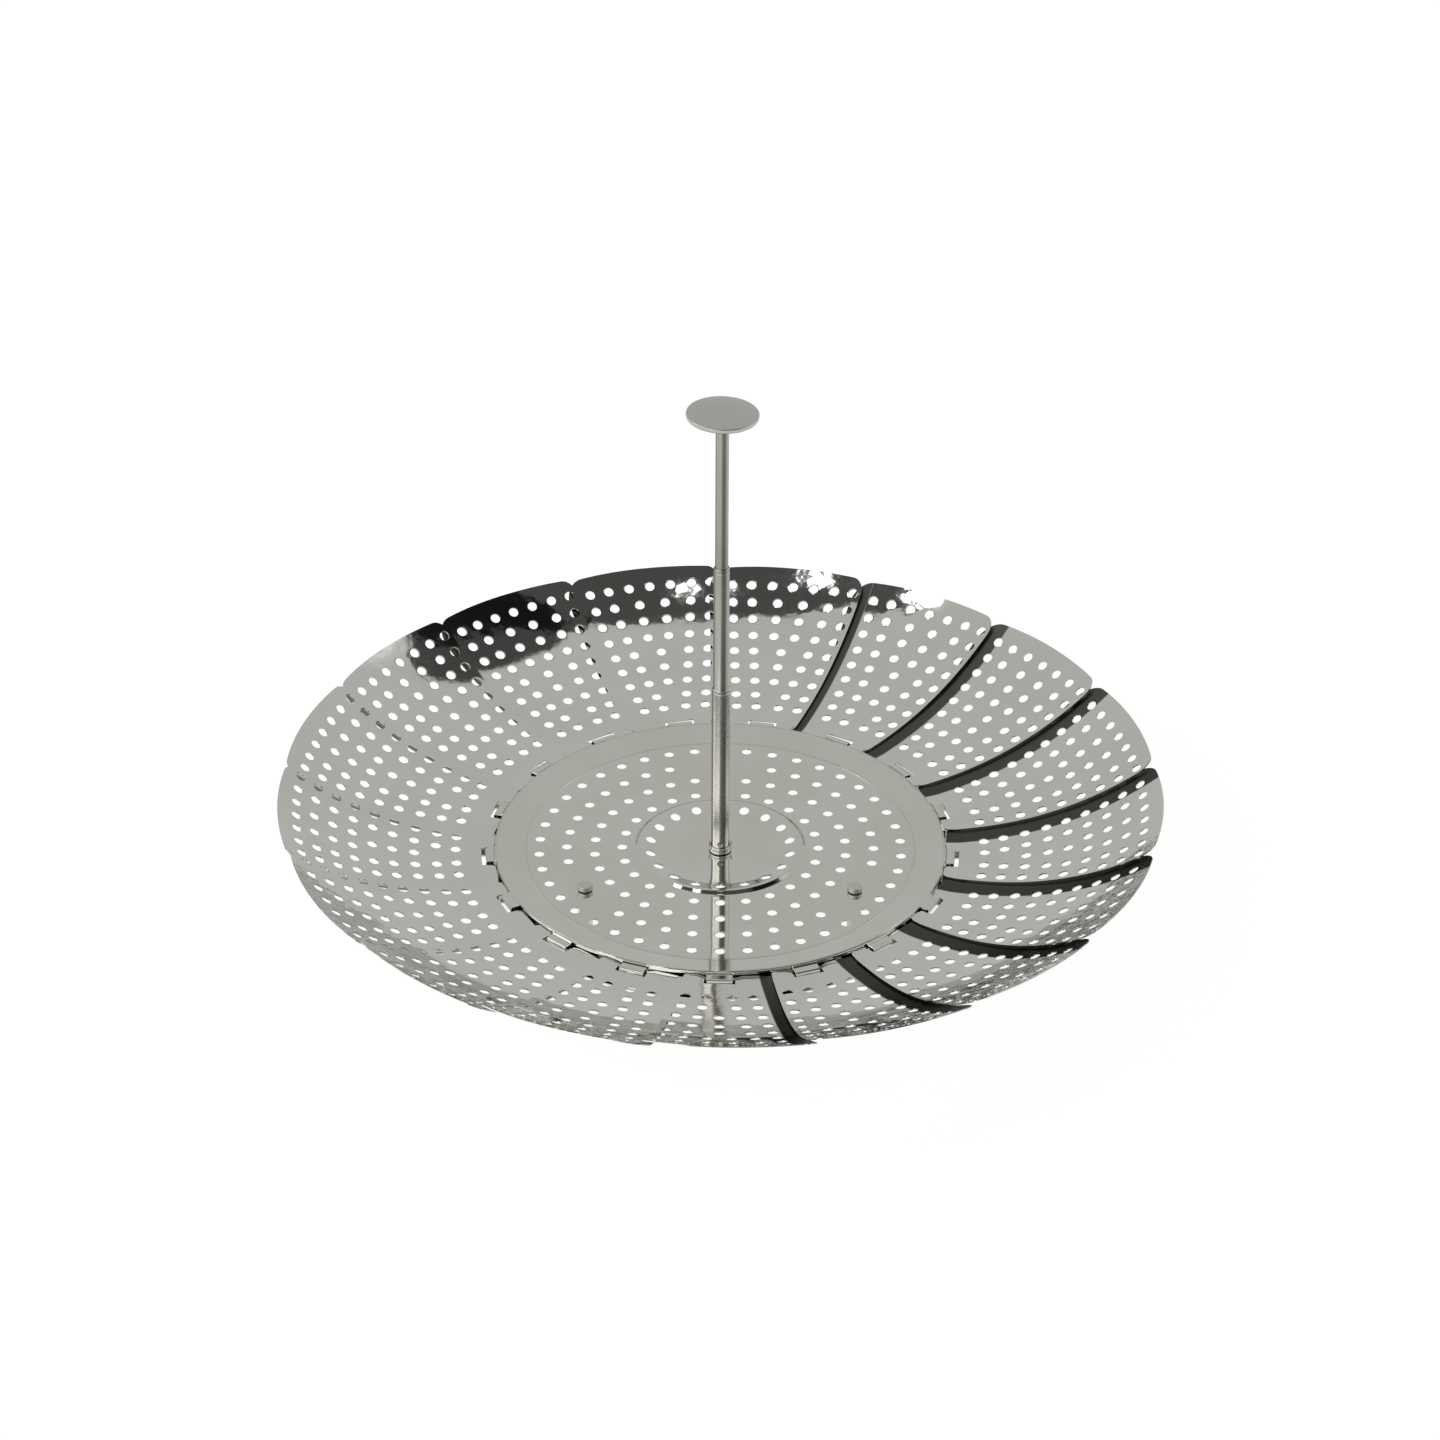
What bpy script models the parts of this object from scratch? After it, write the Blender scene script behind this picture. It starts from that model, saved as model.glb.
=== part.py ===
# Folding vegetable steamer, open, with its post drawn out.
# Metres, +Z up. The origin is on the post's axis, level with the undersides of the feet.

import math

import bmesh
import bpy
from mathutils import Matrix, Vector

# Counts and angles
LEAF_COUNT = 17
FIRST_LEAF_ANGLE = math.radians(-90)
LEAF_ANGLE = math.tau / LEAF_COUNT
FOOT_COUNT = 3
FIRST_FOOT_ANGLE = math.radians(90)
FOOT_ANGLE = math.tau / FOOT_COUNT
PLATE_STEPS = 2 * LEAF_COUNT
TUBE_STEPS = 16
KNOB_STEPS = 24
FOOT_STEPS = 12
HOLE_SIDES = 4
SMOOTH_ANGLE = math.radians(32)

# Shared clearances
SEAT_GAP = 0.0003
CUT_OVERRUN = 0.004

# Base plate: sheet, dished rim and embossed ring round the centre
PLATE_SHEET = 0.00045
PLATE_RADIUS = 0.0704
PLATE_BAND_WIDTH = 0.0096
PLATE_RIM_RISE = 0.0021
RING_FOOT_RADIUS = 0.0269
RING_CREST_RADIUS = 0.0254
RING_RISE = 0.0015
WELL_SHOULDER_RADIUS = 0.0185
WELL_SHOULDER_DROP = 0.0004
WELL_RADIUS = 0.0140
WELL_DROP = 0.0010

# Punched holes, round in the real sheet and here squares of the same area
HOLE_RADIUS = 0.0015

# Base plate: holes in rings that all line up at the first leaf
FIRST_RING_RADIUS = 0.0220
LAST_RING_MARGIN = 0.00424
HOLE_RINGS = 5
FIRST_RING_HOLES = 18
EXTRA_HOLES_PER_RING = 6
FOOT_RING = 3
BLANK_HOLES_EACH_SIDE = 1

# Hooks round the plate's rim, which the leaves hang on
HOOK_WIDTH = 0.0080
HOOK_BORE_RADIUS = 0.00125
HOOK_REACH = 0.0016
HOOK_SWEEP = math.radians(230)
HOOK_BENDS = 4
HOOK_ROOT_OVERLAP = 0.0004

# Seat ring under the rim, seen through the front leaves' first holes
SEAT_RING_SHEET = 0.0005
SEAT_RING_OVERHANG = 0.0072
SEAT_RING_LAND = 0.0020
SEAT_RING_LAND_INSET = 0.0008
SEAT_RING_BEND_INSET = 0.0010
SEAT_RING_HOOK_CLEARANCE = 0.0013

# Leaves: plan shape about the hinge, x outwards and y anticlockwise
LEAF_SHEET = 0.0004
LEAF_REACH = 0.0647
LEAF_RISE = 0.0227
LEAF_DISH_SHARES = (0.127, 0.482, 0.391)
LEAF_LIFT_BASE = 0.0007
LEAF_LIFT_TIP = 0.0016
LEAF_CLOCKWISE_BASE = 0.0111
LEAF_CLOCKWISE_TIP = 0.0249
LEAF_LAP_BASE = 0.0149
LEAF_LAP_TIP = 0.0304
LEAF_TIP_ARC_RADIUS = 0.105
LEAF_TIP_ARC_OFFSET = 0.0015
LEAF_CLOCKWISE_CORNER = 0.0045
LEAF_LAP_CORNER = 0.0070
LEAF_CHAMFER_LENGTH = 0.0030
LEAF_CHAMFER_CLOCKWISE = 0.0024
LEAF_CHAMFER_LAP = 0.0036
LEAF_INNER_COLUMNS = 3
LEAF_CORNER_COLUMNS = 2
LEAF_SIDE_STEPS = 5
BAR_DEPTH = 0.0010
SLOT_DEPTH = 0.0027
SLOT_SIDE_GAP = 0.0008

# Leaves: punched holes in rows across, the outer ones on two slanting lines
LEAF_FIRST_ROW = 0.0107
LEAF_LAST_ROW_MARGIN = 0.0059
LEAF_ROW_HOLES = (4, 4, 5, 5, 5, 6, 6, 6, 7)
LEAF_OUTER_LINE_BASE = 0.0078
LEAF_OUTER_LINE_TIP = 0.0216
LEAF_SECOND_LINE_INSET = 0.0064

# Post: three tubes that slide in each other, drawn out
TUBE_WALL = 0.0003
TUBE_RUNNING_GAP = 0.00005
LOWER_TUBE_RADIUS = 0.00285
LOWER_TUBE_TOP = 0.0587
MIDDLE_TUBE_RADIUS = 0.00242
MIDDLE_TUBE_TOP = 0.1008
MIDDLE_FOOT_LENGTH = 0.0145
UPPER_TUBE_RADIUS = 0.0020
UPPER_TUBE_TOP = 0.1500
UPPER_FOOT_LENGTH = 0.0065
LIP_LENGTH = 0.0012
LIP_RADIUS_DROP = 0.0002

# Knob
KNOB_RADIUS = 0.01085
KNOB_EDGE_HEIGHT = 0.0014
KNOB_EDGE_CORNER = 0.0006
KNOB_DOME_RISE = 0.0011
KNOB_DOME_POINTS = 5
KNOB_BOSS_RADIUS = 0.0030
KNOB_BOSS_HEIGHT = 0.0010
KNOB_SPIGOT_RADIUS = 0.0014
KNOB_SPIGOT_LENGTH = 0.0045
KNOB_TILT = math.radians(1.6)

# Fixing of the post's foot
PLUG_TOP_ABOVE_TUBE_END = 0.0050
PLUG_GAP = 0.0001
PLUG_BORE_RADIUS = 0.00135
SCREW_SHANK_RADIUS = 0.00105
SCREW_HEAD_RADIUS = 0.0036
SCREW_HEAD_HEIGHT = 0.0018
SCREW_HEAD_CHAMFER = 0.0005
WASHER_RADIUS = 0.0055
WASHER_THICKNESS = 0.0008
RING_WALL = 0.00035
RING_HEIGHT = 0.0016
PRONG_COUNT = 2
PRONG_WIDTH = 0.0016
PRONG_LENGTH = 0.0030
PRONG_TILT = math.radians(24)

# Feet: turned pegs, headed over on top of the plate
FOOT_HEIGHT = 0.0220
FOOT_RADIUS = 0.00185
FOOT_END_CHAMFER = 0.0004
FOOT_SHOULDER_RADIUS = 0.0030
FOOT_SHOULDER_HEIGHT = 0.0010
FOOT_NECK_RADIUS = 0.00115
FOOT_HEAD_RADIUS = 0.00225
FOOT_HEAD_HEIGHT = 0.0016
FOOT_HEAD_CHAMFER = 0.0003

# Worked out from the sizes above
PLATE_LEVEL = FOOT_HEIGHT + PLATE_SHEET
PLATE_FLAT_RADIUS = PLATE_RADIUS - PLATE_BAND_WIDTH
HOLE_RING_PITCH = (PLATE_FLAT_RADIUS - LAST_RING_MARGIN - FIRST_RING_RADIUS) / (HOLE_RINGS - 1)
HINGE_RADIUS = PLATE_RADIUS + HOOK_REACH
HINGE_HEIGHT = PLATE_RIM_RISE - PLATE_SHEET - HOOK_BORE_RADIUS
SLOT_WIDTH = HOOK_WIDTH + 2 * SLOT_SIDE_GAP
PLATE_CHORD_SAG = PLATE_RADIUS * (1 - math.cos(math.pi / PLATE_STEPS))
HOLE_CORNER_RADIUS = HOLE_RADIUS * math.sqrt(math.tau / HOLE_SIDES / math.sin(math.tau / HOLE_SIDES))
FOOT_CIRCLE_RADIUS = FIRST_RING_RADIUS + FOOT_RING * HOLE_RING_PITCH
HOOK_UNDERSIDE = HINGE_HEIGHT - HOOK_BORE_RADIUS - PLATE_SHEET
LOWER_TUBE_END = SEAT_GAP - WELL_DROP
WELL_UNDERSIDE = -WELL_DROP - PLATE_SHEET

# Finishes: colour, roughness
POLISHED_STEEL = ((0.66, 0.66, 0.63), 0.10)
LEAF_STEEL = ((0.67, 0.67, 0.65), 0.12)
SATIN_STEEL = ((0.56, 0.56, 0.54), 0.35)
POST_STEEL = ((0.62, 0.61, 0.57), 0.15)
FASTENER_STEEL = ((0.55, 0.55, 0.53), 0.25)


def clear_scene():
    for obj in list(bpy.data.objects):
        bpy.data.objects.remove(obj)


def new_collection(name):
    collection = bpy.data.collections.new(name)
    bpy.context.scene.collection.children.link(collection)
    return collection


def new_material(name, finish):
    colour, roughness = finish
    material = bpy.data.materials.new(name)
    material.use_nodes = True
    shader = material.node_tree.nodes["Principled BSDF"]
    shader.inputs["Base Color"].default_value = (*colour, 1)
    shader.inputs["Metallic"].default_value = 1
    shader.inputs["Roughness"].default_value = roughness
    return material


def object_from_bmesh(name, bm, collection):
    mesh = bpy.data.meshes.new(name)
    bm.to_mesh(mesh)
    bm.free()
    obj = bpy.data.objects.new(name, mesh)
    collection.objects.link(obj)
    return obj


def new_cutter(name, bm):
    obj = object_from_bmesh(name, bm, cutters)
    obj.hide_render = True
    obj.display_type = "WIRE"
    return obj


def add_boolean(obj, tool, operation):
    modifier = obj.modifiers.new(operation.title(), "BOOLEAN")
    modifier.operation = operation
    modifier.solver = "EXACT"
    modifier.object = tool


def evaluated_mesh(obj):
    depsgraph = bpy.context.evaluated_depsgraph_get()
    return bpy.data.meshes.new_from_object(obj.evaluated_get(depsgraph))


def dress(obj, finish):
    """Shades round faces smooth and gives the piece its own material."""
    mesh = obj.data
    mesh.name = obj.name
    mesh.shade_smooth()
    mesh.set_sharp_from_angle(angle=SMOOTH_ANGLE)
    mesh.materials.clear()
    mesh.materials.append(new_material(obj.name, finish))
    return obj


def finish_piece(obj, finish):
    """Applies the piece's modifiers and dresses it."""
    mesh = evaluated_mesh(obj)
    obj.modifiers.clear()
    obj.data = mesh
    return dress(obj, finish)


def turned(name, profile, steps, closed):
    """Turns (radius, height) points about Z. They run clockwise, down the outer side."""
    bm = bmesh.new()
    verts = [bm.verts.new((radius, 0, height)) for radius, height in profile]
    for first, second in zip(verts, verts[1:]):
        bm.edges.new((first, second))
    if closed:
        bm.edges.new((verts[-1], verts[0]))
    obj = object_from_bmesh(name, bm, steamer)
    screw = obj.modifiers.new("Turn", "SCREW")
    screw.steps = steps
    screw.render_steps = steps
    screw.use_merge_vertices = True
    screw.merge_threshold = TUBE_RUNNING_GAP / 5
    screw.use_smooth_shade = True
    return obj


def turned_solid(name, profile, steps):
    """A solid whose profile starts and ends on the axis."""
    return turned(name, profile, steps, closed=False)


def polar(radius, angle, height=0):
    return Vector((radius * math.cos(angle), radius * math.sin(angle), height))


def leaf_azimuth(index):
    return FIRST_LEAF_ANGLE + index * LEAF_ANGLE


def foot_azimuth(index):
    return FIRST_FOOT_ANGLE + index * FOOT_ANGLE


# Base plate

def plate_top_profile():
    return [
        (PLUG_BORE_RADIUS, -WELL_DROP),
        (WELL_RADIUS, -WELL_DROP),
        (WELL_SHOULDER_RADIUS, -WELL_SHOULDER_DROP),
        (RING_CREST_RADIUS, RING_RISE),
        (RING_FOOT_RADIUS, 0),
        (PLATE_FLAT_RADIUS, 0),
        (PLATE_RADIUS, PLATE_RIM_RISE),
    ]


def near_foot(angle, hole_step):
    """True for the holes that a foot's seat takes, and those beside it. The seat has its own hole."""
    reach = (BLANK_HOLES_EACH_SIDE + 0.5) * hole_step
    for index in range(FOOT_COUNT):
        apart = (angle - foot_azimuth(index) + math.pi) % math.tau - math.pi
        if abs(apart) < reach:
            return True
    return False


def plate_hole_centres():
    centres = [polar(FOOT_CIRCLE_RADIUS, foot_azimuth(index)) for index in range(FOOT_COUNT)]
    for ring in range(HOLE_RINGS):
        count = FIRST_RING_HOLES + ring * EXTRA_HOLES_PER_RING
        step = math.tau / count
        for index in range(count):
            angle = FIRST_LEAF_ANGLE + index * step
            if ring == FOOT_RING and near_foot(angle, step):
                continue
            centres.append(polar(FIRST_RING_RADIUS + ring * HOLE_RING_PITCH, angle))
    return centres


def add_hole_prism(bm, centre):
    bmesh.ops.create_cone(
        bm,
        cap_ends=True,
        segments=HOLE_SIDES,
        radius1=HOLE_CORNER_RADIUS,
        radius2=HOLE_CORNER_RADIUS,
        depth=CUT_OVERRUN * 2,
        matrix=Matrix.Translation(centre),
    )


def hook_outline():
    """Side view of a hook, from its root in the rim round the leaf's hinge bar, about the hinge."""
    outer_radius = HOOK_BORE_RADIUS + PLATE_SHEET
    root = -HOOK_REACH - PLATE_CHORD_SAG - HOOK_ROOT_OVERLAP
    turn = [math.pi / 2 - HOOK_SWEEP * step / HOOK_BENDS for step in range(HOOK_BENDS + 1)]
    outer = [(outer_radius * math.cos(a), outer_radius * math.sin(a)) for a in turn]
    inner = [(HOOK_BORE_RADIUS * math.cos(a), HOOK_BORE_RADIUS * math.sin(a)) for a in turn]
    return [(root, HOOK_BORE_RADIUS), (root, outer_radius)] + outer + inner[::-1]


def flat_solid(name, outline, thickness):
    """A plate of the given outline, made as a filled curve and turned into a mesh."""
    curve = bpy.data.curves.new(name, "CURVE")
    curve.dimensions = "2D"
    curve.fill_mode = "BOTH"
    curve.extrude = thickness / 2
    spline = curve.splines.new("POLY")
    spline.points.add(len(outline) - 1)
    for point, (x, y) in zip(spline.points, outline):
        point.co = (x, y, 0, 1)
    spline.use_cyclic_u = True
    obj = bpy.data.objects.new(name, curve)
    cutters.objects.link(obj)
    mesh = evaluated_mesh(obj)
    bpy.data.objects.remove(obj)
    bm = bmesh.new()
    bm.from_mesh(mesh)
    bpy.data.meshes.remove(mesh)
    bmesh.ops.remove_doubles(bm, verts=bm.verts, dist=TUBE_RUNNING_GAP / 5)
    return bm


def hooks_bmesh():
    """All hooks as separate bodies, each standing in its leaf's radial plane."""
    single = flat_solid("hook", hook_outline(), HOOK_WIDTH)
    hook = bpy.data.meshes.new("hook")
    single.to_mesh(hook)
    single.free()
    upright = Matrix.Rotation(math.pi / 2, 4, "X")
    bm = bmesh.new()
    for index in range(LEAF_COUNT):
        before = len(bm.verts)
        bm.from_mesh(hook)
        bm.verts.ensure_lookup_table()
        azimuth = leaf_azimuth(index)
        place = Matrix.Translation(polar(HINGE_RADIUS, azimuth, HINGE_HEIGHT))
        turn = Matrix.Rotation(azimuth, 4, "Z")
        bmesh.ops.transform(bm, matrix=place @ turn @ upright, verts=bm.verts[before:])
    bpy.data.meshes.remove(hook)
    return bm


def make_base_plate():
    top = plate_top_profile()
    bottom = [(radius, height - PLATE_SHEET) for radius, height in reversed(top)]
    plate = turned("base_plate", top + bottom, PLATE_STEPS, closed=True)
    flatten = plate.modifiers.new("Flat areas", "DECIMATE")
    flatten.decimate_type = "DISSOLVE"
    flatten.angle_limit = math.radians(0.5)
    holes = bmesh.new()
    for centre in plate_hole_centres():
        add_hole_prism(holes, centre)
    add_boolean(plate, new_cutter("plate_holes", holes), "DIFFERENCE")
    add_boolean(plate, new_cutter("plate_hooks", hooks_bmesh()), "UNION")
    return finish_piece(plate, POLISHED_STEEL)


def make_seat_ring():
    """The ring welded under the plate, which runs out below the hooks and the leaves' inner ends."""
    land_inner = PLATE_FLAT_RADIUS - SEAT_RING_LAND_INSET
    land_height = -PLATE_SHEET - SEAT_GAP
    level = HOOK_UNDERSIDE - SEAT_RING_HOOK_CLEARANCE
    top = [
        (land_inner, land_height),
        (land_inner + SEAT_RING_LAND, land_height),
        (PLATE_RADIUS - SEAT_RING_BEND_INSET, level),
        (PLATE_RADIUS + SEAT_RING_OVERHANG, level),
    ]
    bottom = [(radius, height - SEAT_RING_SHEET) for radius, height in reversed(top)]
    ring = turned("seat_ring", top + bottom, PLATE_STEPS, closed=True)
    return finish_piece(ring, POLISHED_STEEL)


# Leaves

def leaf_edges(x):
    """The clockwise and the lapped edge at a distance from the hinge, chamfered at the inner end."""
    share = x / LEAF_REACH
    clockwise = LEAF_CLOCKWISE_BASE + share * (LEAF_CLOCKWISE_TIP - LEAF_CLOCKWISE_BASE)
    lap = LEAF_LAP_BASE + share * (LEAF_LAP_TIP - LEAF_LAP_BASE)
    inner_end = -BAR_DEPTH / 2
    cut_share = max(0, 1 - (x - inner_end) / LEAF_CHAMFER_LENGTH)
    return cut_share * LEAF_CHAMFER_CLOCKWISE - clockwise, lap - cut_share * LEAF_CHAMFER_LAP


def corner_drop(distance, radius):
    """How far a rounded corner falls back at a distance from the side edge."""
    inside = min(max(distance, 0), radius)
    return radius - math.sqrt(radius ** 2 - (radius - inside) ** 2)


def leaf_tip(y):
    """The outer edge's distance from the hinge, an arc with rounded corners."""
    clockwise, lap = leaf_edges(LEAF_REACH)
    off_centre = y - LEAF_TIP_ARC_OFFSET
    sagitta = LEAF_TIP_ARC_RADIUS - math.sqrt(LEAF_TIP_ARC_RADIUS ** 2 - off_centre ** 2)
    drop = corner_drop(y - clockwise, LEAF_CLOCKWISE_CORNER) + corner_drop(lap - y, LEAF_LAP_CORNER)
    return LEAF_REACH - sagitta - drop


def leaf_columns():
    """Shares of the leaf's width, closer together where its outer corners are round."""
    clockwise, lap = leaf_edges(LEAF_REACH)
    width = lap - clockwise
    first = LEAF_CLOCKWISE_CORNER / width
    last = LEAF_LAP_CORNER / width
    turns = [math.pi / 2 * step / LEAF_CORNER_COLUMNS for step in range(LEAF_CORNER_COLUMNS)]
    shares = [first * (1 - math.cos(turn)) for turn in turns]
    for step in range(LEAF_INNER_COLUMNS + 1):
        shares.append(first + (1 - first - last) * step / LEAF_INNER_COLUMNS)
    shares += [1 - last * (1 - math.cos(turn)) for turn in reversed(turns)]
    return shares


def leaf_height(x, y):
    """Height above the hinge: the dish, less a slope across that lifts the clockwise edge."""
    from_axis = math.hypot(HINGE_RADIUS + x, y)
    share = (from_axis - HINGE_RADIUS) / LEAF_REACH
    dish = sum(part * share ** (power + 1) for power, part in enumerate(LEAF_DISH_SHARES))
    lift = LEAF_LIFT_BASE + share * (LEAF_LIFT_TIP - LEAF_LIFT_BASE)
    return LEAF_RISE * dish - lift * math.atan2(y, HINGE_RADIUS + x) / LEAF_ANGLE


def leaf_slope(x, y):
    """How steeply the sheet climbs outwards, from its height a millimetre further on."""
    step = LEAF_REACH / 64
    return (leaf_height(x + step, y) - leaf_height(x, y)) / step


def leaf_side(side, tip_x):
    """Points down one side, from beside the tip to the inner corner. Side 0 is the clockwise one."""
    inner_end = -BAR_DEPTH / 2
    chamfer_end = inner_end + LEAF_CHAMFER_LENGTH
    places = [tip_x + (chamfer_end - tip_x) * step / LEAF_SIDE_STEPS for step in range(1, LEAF_SIDE_STEPS + 1)]
    return [Vector((x, leaf_edges(x)[side])) for x in places + [inner_end]]


def leaf_outline():
    """The leaf's edge in plan: up the clockwise side, along the tip and back down the lapped side."""
    clockwise, lap = leaf_edges(LEAF_REACH)
    tip = []
    for share in leaf_columns():
        x = leaf_tip(clockwise + share * (lap - clockwise))
        low, high = leaf_edges(x)
        tip.append(Vector((x, low + share * (high - low))))
    return leaf_side(0, tip[0].x)[::-1] + tip + leaf_side(1, tip[-1].x)


def slot_outline():
    start = BAR_DEPTH / 2
    end = start + SLOT_DEPTH
    half = SLOT_WIDTH / 2
    return [Vector((start, -half)), Vector((end, -half)), Vector((end, half)), Vector((start, half))]


def leaf_rows():
    """Distances of the rows from the hinge, evenly apart along the dished sheet."""
    steps = 8 * len(LEAF_ROW_HOLES)
    run = (LEAF_REACH - LEAF_LAST_ROW_MARGIN - LEAF_FIRST_ROW) / steps
    places = [LEAF_FIRST_ROW + run * step for step in range(steps + 1)]
    lengths = [0]
    for x in places[:-1]:
        lengths.append(lengths[-1] + run / math.cos(math.atan(leaf_slope(x, 0))))
    pitch = lengths[-1] / (len(LEAF_ROW_HOLES) - 1)
    return [
        min(zip(places, lengths), key=lambda pair: abs(pair[1] - row * pitch))[0]
        for row in range(len(LEAF_ROW_HOLES))
    ]


def row_places(outer, count):
    """Where a row's holes lie across: two near each side, and the rest spread between them."""
    second = outer - LEAF_SECOND_LINE_INSET
    inner = count - 4
    between = [second * (2 * (step + 1) / (inner + 1) - 1) for step in range(inner)]
    return [-outer, -second] + between + [second, outer]


def leaf_hole_centres():
    """Hole middles in plan."""
    centres = []
    for x, count in zip(leaf_rows(), LEAF_ROW_HOLES):
        share = x / LEAF_REACH
        outer = LEAF_OUTER_LINE_BASE + share * (LEAF_OUTER_LINE_TIP - LEAF_OUTER_LINE_BASE)
        centres += [Vector((x, y)) for y in row_places(outer, count)]
    return centres


def hole_outline(centre):
    """A hole's corners in plan, drawn closer together up the slope."""
    squeeze = math.cos(math.atan(leaf_slope(centre.x, centre.y)))
    corners = []
    for side in range(HOLE_SIDES):
        turn = math.tau * (side + 0.5) / HOLE_SIDES
        corners.append(centre + HOLE_CORNER_RADIUS * Vector((squeeze * math.cos(turn), math.sin(turn))))
    return corners


def add_loop(bm, outline):
    verts = [bm.verts.new((x, y, 0)) for x, y in outline]
    for first, second in zip(verts, verts[1:] + verts[:1]):
        bm.edges.new((first, second))


def leaf_sheet_bmesh():
    """The leaf's plan filled between its edge, slot and holes, then lifted on to the dished sheet."""
    bm = bmesh.new()
    add_loop(bm, leaf_outline())
    add_loop(bm, slot_outline())
    for centre in leaf_hole_centres():
        add_loop(bm, hole_outline(centre))
    bmesh.ops.triangle_fill(bm, use_beauty=True, edges=bm.edges, normal=(0, 0, 1))
    for vert in bm.verts:
        vert.co.z = leaf_height(vert.co.x, vert.co.y)
    return bm


def leaf_shape():
    """The mesh that every leaf copies, with its hinge line on the origin."""
    shape = object_from_bmesh("leaf_shape", leaf_sheet_bmesh(), cutters)
    thicken = shape.modifiers.new("Sheet", "SOLIDIFY")
    thicken.thickness = LEAF_SHEET
    thicken.offset = 0
    thicken.use_even_offset = True
    mesh = evaluated_mesh(shape)
    bpy.data.objects.remove(shape)
    return mesh


def make_leaf(name, index, shape):
    leaf = bpy.data.objects.new(name, shape.copy())
    steamer.objects.link(leaf)
    azimuth = leaf_azimuth(index)
    leaf.location = polar(HINGE_RADIUS, azimuth, PLATE_LEVEL + HINGE_HEIGHT)
    leaf.rotation_euler.z = azimuth
    return dress(leaf, LEAF_STEEL)


def make_leaves():
    shape = leaf_shape()
    for index in range(LEAF_COUNT):
        make_leaf(f"leaf_{index + 1:02d}", index, shape)


# Post

def tube_profile(radius, bottom, top, foot_radius=None, foot_length=0):
    """Closed outline of a tube with a drawn-in top lip and, on the inner tubes, a swaged foot."""
    bore = radius - TUBE_WALL
    foot = foot_radius or radius
    points = [
        (radius, top - LIP_LENGTH),
        (radius, bottom + foot_length + foot - radius),
        (foot, bottom + foot_length),
        (foot, bottom),
        (bore + foot - radius, bottom),
    ]
    if foot_radius is None:
        points = [points[0], points[3], points[4]]
    else:
        points.append((bore + foot - radius, bottom + foot_length))
    return points + [(bore, top - LIP_LENGTH)]


def lipped_tube(name, radius, bottom, top, next_radius, foot_radius=None, foot_length=0):
    """A tube whose lip closes on the next tube with a running gap."""
    lip = [(next_radius + TUBE_RUNNING_GAP, top), (radius - LIP_RADIUS_DROP, top)]
    profile = tube_profile(radius, bottom, top, foot_radius, foot_length)
    return turned(name, lip + profile, TUBE_STEPS, closed=True)


def make_lower_tube():
    tube = lipped_tube(
        "lower_tube", LOWER_TUBE_RADIUS, LOWER_TUBE_END, LOWER_TUBE_TOP, MIDDLE_TUBE_RADIUS
    )
    return finish_piece(tube, POST_STEEL)


def make_middle_tube(parent):
    foot_radius = LOWER_TUBE_RADIUS - TUBE_WALL - TUBE_RUNNING_GAP
    foot_top = LOWER_TUBE_TOP - LIP_LENGTH - SEAT_GAP
    tube = lipped_tube(
        "middle_tube",
        MIDDLE_TUBE_RADIUS,
        foot_top - MIDDLE_FOOT_LENGTH,
        MIDDLE_TUBE_TOP,
        UPPER_TUBE_RADIUS,
        foot_radius,
        MIDDLE_FOOT_LENGTH,
    )
    tube.parent = parent
    return finish_piece(tube, POST_STEEL)


def make_upper_tube(parent):
    bore = UPPER_TUBE_RADIUS - TUBE_WALL
    foot_radius = MIDDLE_TUBE_RADIUS - TUBE_WALL - TUBE_RUNNING_GAP
    foot_top = MIDDLE_TUBE_TOP - LIP_LENGTH - SEAT_GAP
    foot_end = foot_top - UPPER_FOOT_LENGTH
    profile = [
        (bore, UPPER_TUBE_TOP),
        (UPPER_TUBE_RADIUS, UPPER_TUBE_TOP),
        (UPPER_TUBE_RADIUS, foot_top + foot_radius - UPPER_TUBE_RADIUS),
        (foot_radius, foot_top),
        (foot_radius, foot_end),
        (bore, foot_end),
    ]
    tube = turned("upper_tube", profile, TUBE_STEPS, closed=True)
    tube.parent = parent
    return finish_piece(tube, POST_STEEL)


def make_knob(parent):
    """A shallow domed disc with a boss and a spigot, about the seat on the tube's end."""
    edge_top = KNOB_BOSS_HEIGHT + KNOB_EDGE_HEIGHT
    dome_radius = KNOB_RADIUS - KNOB_EDGE_CORNER
    dome = []
    for step in range(KNOB_DOME_POINTS):
        share = step / (KNOB_DOME_POINTS - 1)
        dome.append((dome_radius * share, edge_top + KNOB_DOME_RISE * (1 - share ** 2)))
    rim = [
        (KNOB_RADIUS, edge_top - KNOB_EDGE_CORNER),
        (KNOB_RADIUS, KNOB_BOSS_HEIGHT + KNOB_EDGE_CORNER),
        (dome_radius, KNOB_BOSS_HEIGHT),
    ]
    stem = [
        (KNOB_BOSS_RADIUS, KNOB_BOSS_HEIGHT),
        (KNOB_BOSS_RADIUS, 0),
        (KNOB_SPIGOT_RADIUS, 0),
        (KNOB_SPIGOT_RADIUS, -KNOB_SPIGOT_LENGTH),
        (0, -KNOB_SPIGOT_LENGTH),
    ]
    knob = finish_piece(turned_solid("knob", dome + rim + stem, KNOB_STEPS), SATIN_STEEL)
    knob.parent = parent
    knob.location.z = UPPER_TUBE_TOP + SEAT_GAP
    knob.rotation_euler.y = KNOB_TILT
    return knob


# Fixing of the post's foot

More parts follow.
